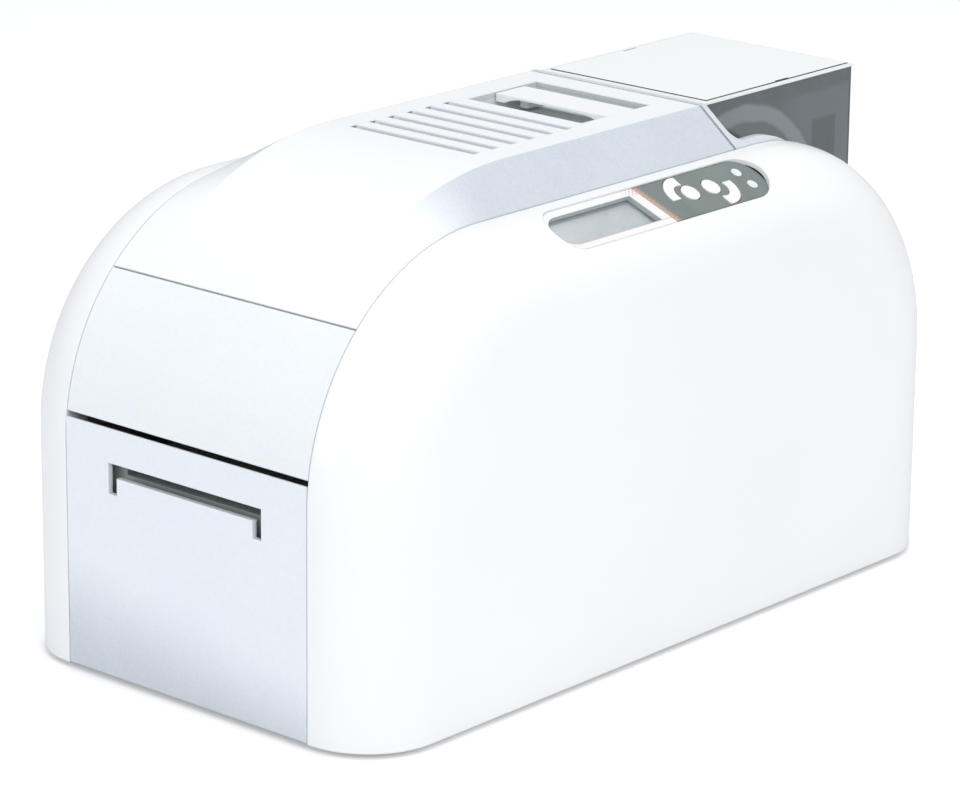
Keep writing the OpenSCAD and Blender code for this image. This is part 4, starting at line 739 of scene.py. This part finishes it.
def headFinish(name):
    # cast heat sink with a white ceramic strip and a dark heater line at its foot
    look = {"tint": shade(182, 186, 190), "fixed": {}}
    material, tree, shader = startFinish(name, look)
    where = addNode(tree, "TexCoord").outputs["Object"]
    x, y, z = axes(tree, where)
    strip = between(tree, z, 0.1323, 0.1321)
    heater = sums(tree, "MULTIPLY", between(tree, z, 0.1204, 0.1202),
        between(tree, sums(tree, "ABSOLUTE", sums(tree, "ADD", y, 0.006)), 0.0010, 0.0008))
    fins = addNode(tree, "Math", {0: sums(tree, "MULTIPLY", x, 1250.0)}, operation="SINE").outputs[0]
    fins = sums(tree, "MULTIPLY", between(tree, fins, -0.2, 0.2), sums(tree, "SUBTRACT", 1.0, strip))
    grain = useGroup(tree, mouldGrain, scale=1900.0, flow=40.0)
    edge = useGroup(tree, edgeWearAndHighlight, radius=0.0004, patch=120.0)
    metal = blendColour(tree, grain["tone"], shade(176, 179, 182), shade(198, 200, 203))
    metal = blendColour(tree, sums(tree, "MULTIPLY", fins, 0.25), metal, shade(216, 218, 220))
    ceramic = blendColour(tree, grain["tone"], shade(232, 228, 216), shade(240, 237, 228))
    colour = blendColour(tree, strip, metal, ceramic)
    colour = blendColour(tree, heater, colour, shade(66, 54, 44))
    colour = blendColour(tree, sums(tree, "MULTIPLY", edge["mask"], 0.5), colour, shade(228, 229, 230))
    plug(tree, sums(tree, "MULTIPLY_ADD", strip, -0.85, 0.85), shader.inputs["Metallic"])
    rough = sums(tree, "MULTIPLY_ADD", strip, -0.15, 0.42)
    height = sums(tree, "ADD", sums(tree, "MULTIPLY", fins, 2.0), grain["height"])
    endFinish(tree, shader, colour, rough, height, 0.0002, edge["normal"])
    return material


def ribbonFinish(name):
    # dye film whose panels, each a card long, run yellow, magenta, cyan, black and clear; only the yellow,
    # magenta and cyan panels are drawn
    look = {"tint": shade(200, 160, 60), "fixed": {"IOR": 1.5, "Coat Weight": 0.4, "Coat Roughness": 0.08,
        "Alpha": 0.92}}
    material, tree, shader = startFinish(name, look)
    where = addNode(tree, "TexCoord").outputs["Object"]
    x, y, z = axes(tree, where)
    grain = useGroup(tree, mouldGrain, scale=1200.0, flow=60.0)
    creases = useGroup(tree, streaks, stretch=(0.05, 1.0, 1.0), scale=260.0)
    colour = blendColour(tree, between(tree, y, -0.0205, -0.0200), shade(206, 186, 60),
        shade(186, 66, 120))
    colour = blendColour(tree, between(tree, y, 0.0115, 0.0120), colour, shade(52, 142, 176))
    colour = blendColour(tree, sums(tree, "MULTIPLY", grain["tone"], 0.3), colour, shade(96, 84, 70))
    rough = sums(tree, "MULTIPLY_ADD", creases["tone"], 0.12, 0.16)
    endFinish(tree, shader, colour, rough, creases["height"], 0.00006)
    return material


def spoolFinish(name, look):
    # wound film with its layered ends, between moulded flanges on a grey core
    material, tree, shader = startFinish(name, look)
    where = addNode(tree, "TexCoord").outputs["Object"]
    x, y, z = axes(tree, where)
    ax = sums(tree, "ABSOLUTE", x)
    dy = sums(tree, "SUBTRACT", y, look["centre"][0])
    dz = sums(tree, "SUBTRACT", z, look["centre"][1])
    far = sums(tree, "SQRT", sums(tree, "ADD", sums(tree, "MULTIPLY", dy, dy),
        sums(tree, "MULTIPLY", dz, dz)))
    turns = addNode(tree, "Math", {0: sums(tree, "MULTIPLY", far, 9000.0)}, operation="SINE").outputs[0]
    core = sums(tree, "MAXIMUM", between(tree, far, 0.0043, 0.0041), between(tree, ax, 0.0309, 0.0311))
    grain = useGroup(tree, mouldGrain, scale=1500.0, flow=50.0)
    wound = useGroup(tree, streaks, stretch=(1.0, 0.02, 0.02), scale=420.0)
    edge = useGroup(tree, edgeWearAndHighlight, radius=0.0003, patch=160.0)
    film = blendColour(tree, wound["tone"], look["tint"], look["second"])
    film = blendColour(tree, sums(tree, "MULTIPLY", between(tree, turns, 0.0, 0.8), 0.25), film,
        look["deep"])
    hub = blendColour(tree, grain["tone"], shade(176, 180, 184), shade(192, 195, 198))
    colour = blendColour(tree, core, film, hub)
    colour = blendColour(tree, sums(tree, "MULTIPLY", edge["mask"], 0.5), colour, shade(224, 225, 226))
    rough = sums(tree, "MULTIPLY_ADD", core, 0.2, 0.24)
    endFinish(tree, shader, colour, rough, sums(tree, "ADD", wound["height"], grain["height"]), 0.00005,
        edge["normal"])
    return material


supplyFilm = {
    "tint": shade(150, 128, 58), "second": shade(176, 152, 74), "deep": shade(92, 74, 34),
    "centre": (0.043, 0.153),
    "fixed": {"Coat Weight": 0.4, "Coat Roughness": 0.1},
}
takeupFilm = dict(supplyFilm, tint=shade(88, 70, 82), second=shade(108, 88, 100), deep=shade(52, 40, 48),
    centre=(-0.055, 0.153))


def boardFinish(name, look):
    # solder mask over copper tracks with plated pads; what stands on it is black or plated
    material, tree, shader = startFinish(name, look)
    where = addNode(tree, "TexCoord").outputs["Object"]
    x, y, z = axes(tree, where)
    grain = useGroup(tree, mouldGrain, scale=1700.0, flow=40.0)
    edge = useGroup(tree, edgeWearAndHighlight, radius=0.0003, patch=160.0)
    cells = addNode(tree, "TexVoronoi", {"Vector": where, "Scale": 210.0, "Randomness": 0.85},
        feature="F1", distance="MANHATTAN")
    tracks = between(tree, sums(tree, "ABSOLUTE", sums(tree, "SUBTRACT",
        sums(tree, "FRACT", sums(tree, "MULTIPLY", cells.outputs["Distance"], 6.0)), 0.5)), 0.36, 0.42)
    pads = addNode(tree, "TexVoronoi", {"Vector": where, "Scale": 330.0, "Randomness": 0.55})
    pad = between(tree, pads.outputs["Distance"], 0.24, 0.20)
    mask = blendColour(tree, grain["tone"], look["tint"], look["second"])
    mask = blendColour(tree, sums(tree, "MULTIPLY", tracks, 0.45), mask, look["track"])
    mask = blendColour(tree, sums(tree, "MULTIPLY", pad, 0.8), mask, shade(196, 184, 140))
    above = between(tree, z, look["top"] + 0.0001, look["top"] + 0.0003)
    parts = addNode(tree, "TexVoronoi", {"Vector": where, "Scale": 46.0})
    kind = axes(tree, parts.outputs["Color"])[1]
    package = blendColour(tree, between(tree, kind, 0.55, 0.56), shade(30, 31, 33), shade(58, 60, 64))
    tall = between(tree, z, look["top"] + 0.0096, look["top"] + 0.0098)
    package = blendColour(tree, tall, package, shade(120, 124, 132))
    colour = blendColour(tree, above, mask, package)
    colour = blendColour(tree, sums(tree, "MULTIPLY", edge["mask"], 0.4), colour, shade(150, 156, 150))
    rough = sums(tree, "MULTIPLY_ADD", above, 0.16, 0.3)
    height = sums(tree, "ADD", sums(tree, "MULTIPLY", tracks, 0.6),
        sums(tree, "ADD", pad, sums(tree, "MULTIPLY", grain["height"], 0.3)))
    endFinish(tree, shader, colour, rough, height, 0.00005, edge["normal"])
    return material


mainBoard = {
    "tint": shade(28, 84, 54), "second": shade(34, 96, 62), "track": shade(64, 132, 86), "top": 0.0126,
    "fixed": {"Coat Weight": 0.3, "Coat Roughness": 0.15},
}


def socketFinish(name):
    # plated shells with dark insulator inside the mouths
    look = {"tint": shade(188, 191, 194), "fixed": {}}
    material, tree, shader = startFinish(name, look)
    where = addNode(tree, "TexCoord").outputs["Object"]
    x, y, z = axes(tree, where)
    inlet = between(tree, x, -0.04, -0.041)
    lines = useGroup(tree, streaks, stretch=(1.0, 0.05, 1.0), scale=900.0)
    grain = useGroup(tree, mouldGrain, scale=1700.0, flow=60.0)
    edge = useGroup(tree, edgeWearAndHighlight, radius=0.0003, patch=200.0)
    shell = blendColour(tree, lines["tone"], shade(178, 181, 184), shade(206, 208, 210))
    black = blendColour(tree, grain["tone"], shade(26, 27, 29), shade(38, 39, 41))
    middle = sums(tree, "MULTIPLY", between(tree, sums(tree, "ABSOLUTE", sums(tree, "ADD", x, 0.057)),
        0.0018, 0.0016), between(tree, sums(tree, "ABSOLUTE", sums(tree, "SUBTRACT", z, 0.072)), 0.0018,
        0.0016))
    dark = sums(tree, "SUBTRACT", inlet, middle, clamp=True)
    colour = blendColour(tree, dark, shell, black)
    colour = blendColour(tree, sums(tree, "MULTIPLY", edge["mask"], 0.5), colour, shade(222, 223, 224))
    plug(tree, sums(tree, "MULTIPLY_ADD", dark, -0.9, 0.9), shader.inputs["Metallic"])
    rough = sums(tree, "MULTIPLY_ADD", dark, 0.2, 0.26)
    endFinish(tree, shader, colour, rough, sums(tree, "ADD", lines["height"], grain["height"]), 0.00003,
        edge["normal"])
    return material


rubberSkin = {
    "tint": shade(30, 31, 32), "second": shade(42, 43, 44), "edgeTint": shade(78, 78, 78), "rough": 0.72,
    "grain": 1600.0, "depth": 0.0001, "fixed": {"IOR": 1.5},
}

finishes = {
    "side_cover_right": mouldedPlastic("whiteCoverRight", whiteCover),
    "side_cover_left": mouldedPlastic("whiteCoverLeft", whiteCover),
    "rear_panel": mouldedPlastic("rearPanelPlastic", panelBack),
    "cover_shell": flakePaint("spinePaint", spinePaint),
    "fascia": flakePaint("fasciaPaint", fasciaPaint),
    "door_panel": flakePaint("doorPaint", doorPaint),
    "hopper_frame": flakePaint("hopperPaint", hopperPaint),
    "hopper_walls": smokedAcrylic("smokedWall", smokedWall),
    "hopper_rim": mouldedPlastic("rimPlastic", rimPlastic),
    "hopper_lid": mouldedPlastic("lidPlastic", lidPlastic),
    "pull_plate": mouldedPlastic("pullPlastic", pullPlastic),
    "latch_well": mouldedPlastic("wellMoulding", wellMoulding),
    "panel_frame": panelFrameFinish("panelWhite"),
    "keypad_plate": keypadFinish("keypadGloss"),
    "lcd_glass": windowFinish("windowClear"),
    "lcd_module": displayFinish("displayFace"),
    "key_menu": mouldedPlastic("keyWhiteFront", keyPlastic),
    "key_enter": mouldedPlastic("keyWhiteRear", keyPlastic),
    "key_back": mouldedPlastic("crescentFront", crescentPlastic),
    "key_next": mouldedPlastic("crescentRear", crescentPlastic),
    "status_lights": statusLightFinish("statusLightLens"),
    "panel_board": boardFinish("panelBoardMask", dict(mainBoard, top=9.0)),
    "base_tray": mouldedPlastic("trayMoulding", trayMoulding),
    "rubber_feet": softRubber("footRubber", rubberSkin),
    "door_liner": mouldedPlastic("linerMoulding", linerMoulding),
    "door_pins": rolledMetal("doorPinSteel", turnedSteel),
    "cover_liner": mouldedPlastic("coverLinerMoulding", linerMoulding),
    "latch_hooks": rolledMetal("hookSteel", turnedSteel),
    "frame_plates": rolledMetal("frameSteel", steelSheet),
    "cross_bars": rolledMetal("barSteel", turnedSteel),
    "hinge_bridge": rolledMetal("bridgeSteel", dict(steelSheet, stretch=(1.0, 1.0, 0.04))),
    "card_track": mouldedPlastic("trackMoulding", greyMoulding),
    "exit_chute": mouldedPlastic("chuteMoulding", chuteMoulding),
    "magazine": mouldedPlastic("magazineMoulding", magazineMoulding),
    "weight_plate": rolledMetal("weightSteel", weightSteel),
    "bushes": bronzeFinish("bushBronze"),
    "front_roller": rollerFinish("feedRollerFront", feedRubber),
    "middle_roller": rollerFinish("feedRollerMiddle", feedRubber),
    "platen_roller": rollerFinish("platenRubber", platenRubber),
    "rear_roller": rollerFinish("feedRollerRear", feedRubber),
    "pick_roller": rollerFinish("pickRubber", pickRubber),
    "pinch_front": rollerFinish("pinchRubberFront", pinchRubber),
    "pinch_rear": rollerFinish("pinchRubberRear", pinchRubber),
    "cleaning_roller": rollerFinish("stickyRubber", stickyRubber),
    "drive_belt": beltFinish("driveBeltRubber", driveBelt),
    "motor_belt": beltFinish("motorBeltRubber", motorBelt),
    "feed_motor": motorFinish("motorLacquer", {"tint": shade(40, 41, 43), "fixed": {}}),
    "motor_rotor": rolledMetal("motorShaftSteel", turnedSteel),
    "head_arm": rolledMetal("armSteel", dict(steelSheet, stretch=(1.0, 0.05, 1.0))),
    "print_head": headFinish("headCeramic"),
    "cassette": mouldedPlastic("cassetteMoulding", cassetteMoulding),
    "ribbon_film": ribbonFinish("ribbonFilm"),
    "supply_spool": spoolFinish("supplyFilm", supplyFilm),
    "takeup_spool": spoolFinish("takeupFilm", takeupFilm),
    "main_board": boardFinish("mainBoardMask", mainBoard),
    "power_box": rolledMetal("boxSteel", boxSteel),
    "rear_ports": socketFinish("socketPlating"),
    "power_rocker": mouldedPlastic("rockerPlastic", dict(blackMoulding, rough=0.3, depth=0.00002)),
    "cooling_fan": mouldedPlastic("fanMoulding", blackMoulding),
    "fan_rotor": mouldedPlastic("rotorMoulding", dict(blackMoulding, tint=shade(40, 42, 45))),
}
missing = sorted(set(nodes) - set(finishes))
if missing:
    raise RuntimeError("no finish for " + ", ".join(missing))
for name, material in finishes.items():
    piece = nodes[name]
    piece.data.materials.clear()
    piece.data.materials.append(material)
print("finishes on", len(finishes), "nodes")



def addPiece(name, shape, material, body):
    data = bpy.data.meshes.new(name)
    bmesh.ops.recalc_face_normals(shape, faces=shape.faces)
    shape.to_mesh(data)
    shape.free()
    data.materials.append(material)
    piece = bpy.data.objects.new(name, data)
    bpy.context.scene.collection.objects.link(piece)
    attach(piece, body)
    return piece


def addBlock(shape, low, high, bevel=0.0):
    made = bmesh.ops.create_cube(shape, size=1.0)["verts"]
    low, high = Vector(low), Vector(high)
    for vert in made:
        vert.co = Vector(((high[k] - low[k]) * vert.co[k] + (high[k] + low[k]) / 2 for k in range(3)))
    if bevel:
        sides = list({side for vert in made for side in vert.link_edges})
        bmesh.ops.bevel(shape, geom=sides, offset=bevel, segments=2, profile=0.5, affect="EDGES")


def addScrewHead(shape, place, axis, look):
    # domed head with a cross recess cut as a sunk star
    spin = Vector((0, 0, 1)).rotation_difference(Vector(axis)).to_matrix()
    wide, tall, deep = look["radius"], look["height"], look["recess"]
    arm, half = wide * 0.62, wide * 0.13
    star = []
    for quarter in range(4):
        turn = math.tau * quarter / 4
        for x, y in ((arm, -half), (arm, half), (half, half)):
            star.append((x * math.cos(turn) - y * math.sin(turn), x * math.sin(turn) + y * math.cos(turn)))

    def ring(points, height):
        return [shape.verts.new(Vector(place) + spin @ Vector((x, y, height))) for x, y in points]

    around = [math.atan2(y, x) for x, y in star]
    circle = [(math.cos(turn), math.sin(turn)) for turn in around]
    loops = [ring([(x * wide, y * wide) for x, y in circle], 0.0)]
    for part, height in ((1.0, 0.45), (0.93, 0.8), (0.78, 1.0)):
        loops.append(ring([(x * wide * part, y * wide * part) for x, y in circle], tall * height))
    loops.append(ring(star, tall))
    loops.append(ring([(x * 0.8, y * 0.8) for x, y in star], tall - deep))
    for low, high in zip(loops, loops[1:]):
        for step in range(len(star)):
            after = (step + 1) % len(star)
            shape.faces.new((low[step], low[after], high[after], high[step]))
    shape.faces.new(loops[-1])


rearScrewLook = {
    "places": [(x, z) for x in (-0.078, 0.078) for z in (0.011, 0.113)],
    "y": 0.2386, "radius": 0.0028, "height": 0.0013, "recess": 0.0009,
}
frameScrewLook = {
    "places": [(-0.170, 0.153), (-0.120, 0.193), (-0.170, 0.033), (0.156, 0.033)],
    "x": 0.048, "radius": 0.0034, "height": 0.0016, "recess": 0.0010,
}
screwSteel = rolledMetal("screwSteel", dict(turnedSteel, lines=2400.0, edge=0.0002))
shape = bmesh.new()
for x, z in rearScrewLook["places"]:
    addScrewHead(shape, (x, rearScrewLook["y"], z), (0, 1, 0), rearScrewLook)
addPiece("rearScrews", shape, screwSteel, "case")
shape = bmesh.new()
for y, z in frameScrewLook["places"]:
    for side in (-1, 1):
        addScrewHead(shape, (side * frameScrewLook["x"], y, z), (side, 0, 0), frameScrewLook)
addPiece("frameScrews", shape, screwSteel, "case")

portLook = {
    "tongue": ((0.0625, 0.2255, 0.0215), (0.0671, 0.2370, 0.0260)),
    "contacts": {"x": 0.0742, "step": 0.00082, "count": 8, "y": (0.2256, 0.2340), "z": (0.0272, 0.02775)},
}
contactGold = rolledMetal("contactGold", dict(
    turnedSteel, tint=shade(206, 166, 84), second=shade(226, 190, 112), stainTint=shade(170, 130, 66),
    edgeTint=shade(242, 216, 150), edge=0.0001,
))
shape = bmesh.new()
addBlock(shape, *portLook["tongue"], bevel=0.0003)
addPiece("portTongue", shape, mouldedPlastic("tonguePlastic", dict(blackMoulding, rough=0.35)), "case")
shape = bmesh.new()
wires = portLook["contacts"]
for number in range(wires["count"]):
    x = wires["x"] + number * wires["step"]
    addBlock(shape, (x, wires["y"][0], wires["z"][0]), (x + 0.0004, wires["y"][1], wires["z"][1]),
        bevel=0.0001)
addPiece("portContacts", shape, contactGold, "case")
print("screws and contacts added")

# camera, floor and light

cameraLook = {
    "place": (1.50070, -1.72508, 0.82351), "azimuth": 41.22, "pitch": 17.20, "roll": 0.58,
    "lens": 163.82, "sensor": 36.0,
}


def setCamera(look):
    turn, tip, roll = (math.radians(look[key]) for key in ("azimuth", "pitch", "roll"))
    back = Vector((math.sin(turn) * math.cos(tip), -math.cos(turn) * math.cos(tip), math.sin(tip)))
    right = (-back).cross(Vector((0, 0, 1))).normalized()
    up = right.cross(-back)
    across = right * math.cos(roll) + up * math.sin(roll)
    upward = up * math.cos(roll) - right * math.sin(roll)
    data = bpy.data.cameras.new("camera")
    data.lens = look["lens"]
    data.sensor_width = look["sensor"]
    data.sensor_fit = "HORIZONTAL"
    data.clip_start = 0.05
    data.clip_end = 60.0
    camera = bpy.data.objects.new("camera", data)
    bpy.context.scene.collection.objects.link(camera)
    turned = Matrix((across, upward, back)).transposed().to_4x4()
    camera.matrix_world = Matrix.Translation(look["place"]) @ turned
    bpy.context.scene.camera = camera


floorLook = {"half": 8.0, "tint": (0.86, 0.87, 0.885, 1.0), "lift": 0.30}


def buildFloor(look):
    shape = bmesh.new()
    for x, y in ((-1, -1), (1, -1), (1, 1), (-1, 1)):
        shape.verts.new((x * look["half"], y * look["half"], 0.0))
    shape.faces.new(shape.verts)
    data = bpy.data.meshes.new("floor")
    shape.to_mesh(data)
    shape.free()
    floor = bpy.data.objects.new("floor", data)
    bpy.context.scene.collection.objects.link(floor)
    material = bpy.data.materials.new("floorWhite")
    material.use_nodes = True
    tree = material.node_tree
    tree.nodes.clear()
    matt = addNode(tree, "BsdfDiffuse", {"Color": look["tint"]})
    glow = addNode(tree, "Emission", {"Color": (1.0, 1.0, 1.0, 1.0)})
    seen = addNode(tree, "LightPath")
    plug(tree, sums(tree, "MULTIPLY", seen.outputs["Is Camera Ray"], look["lift"]),
        glow.inputs["Strength"])
    both = addNode(tree, "AddShader")
    tree.links.new(matt.outputs[0], both.inputs[0])
    tree.links.new(glow.outputs[0], both.inputs[1])
    out = addNode(tree, "OutputMaterial")
    tree.links.new(both.outputs[0], out.inputs["Surface"])
    data.materials.append(material)


lightLook = {
    "sky": 0.62, "skyTint": (0.97, 0.985, 1.0, 1.0),
    "lamps": {
        "keyRight": {"place": (2.3, -1.2, 1.5), "size": 1.4, "power": 22.0, "tint": (1.0, 0.99, 0.97)},
        "topBox": {"place": (0.2, 0.1, 2.4), "size": 1.8, "power": 18.0, "tint": (1.0, 1.0, 1.0)},
        "fillFront": {"place": (-0.9, -2.4, 0.9), "size": 1.2, "power": 8.0, "tint": (0.96, 0.98, 1.0)},
    },
}


def setLight(look):
    world = bpy.data.worlds.new("studio")
    bpy.context.scene.world = world
    world.use_nodes = True
    tree = world.node_tree
    tree.nodes.clear()
    seen = addNode(tree, "LightPath")
    straight = sums(tree, "MAXIMUM", seen.outputs["Is Camera Ray"], seen.outputs["Is Transmission Ray"])
    sky = addNode(tree, "Background", {"Color": look["skyTint"], "Strength": look["sky"]})
    white = addNode(tree, "Background", {"Color": (1.0, 1.0, 1.0, 1.0), "Strength": 1.0})
    mix = addNode(tree, "MixShader")
    plug(tree, straight, mix.inputs[0])
    tree.links.new(sky.outputs[0], mix.inputs[1])
    tree.links.new(white.outputs[0], mix.inputs[2])
    out = addNode(tree, "OutputWorld")
    tree.links.new(mix.outputs[0], out.inputs["Surface"])
    for name, lamp in look["lamps"].items():
        data = bpy.data.lights.new(name, "AREA")
        data.shape = "SQUARE"
        data.size = lamp["size"]
        data.energy = lamp["power"]
        data.color = lamp["tint"]
        light = bpy.data.objects.new(name, data)
        bpy.context.scene.collection.objects.link(light)
        aim = Vector((0, 0, 0.12)) - Vector(lamp["place"])
        light.matrix_world = Matrix.Translation(lamp["place"]) @ aim.to_track_quat("-Z",
            "Y").to_matrix().to_4x4()


setCamera(cameraLook)
buildFloor(floorLook)
setLight(lightLook)
bpy.context.scene.view_settings.view_transform = "Standard"
print("camera, floor and light set")
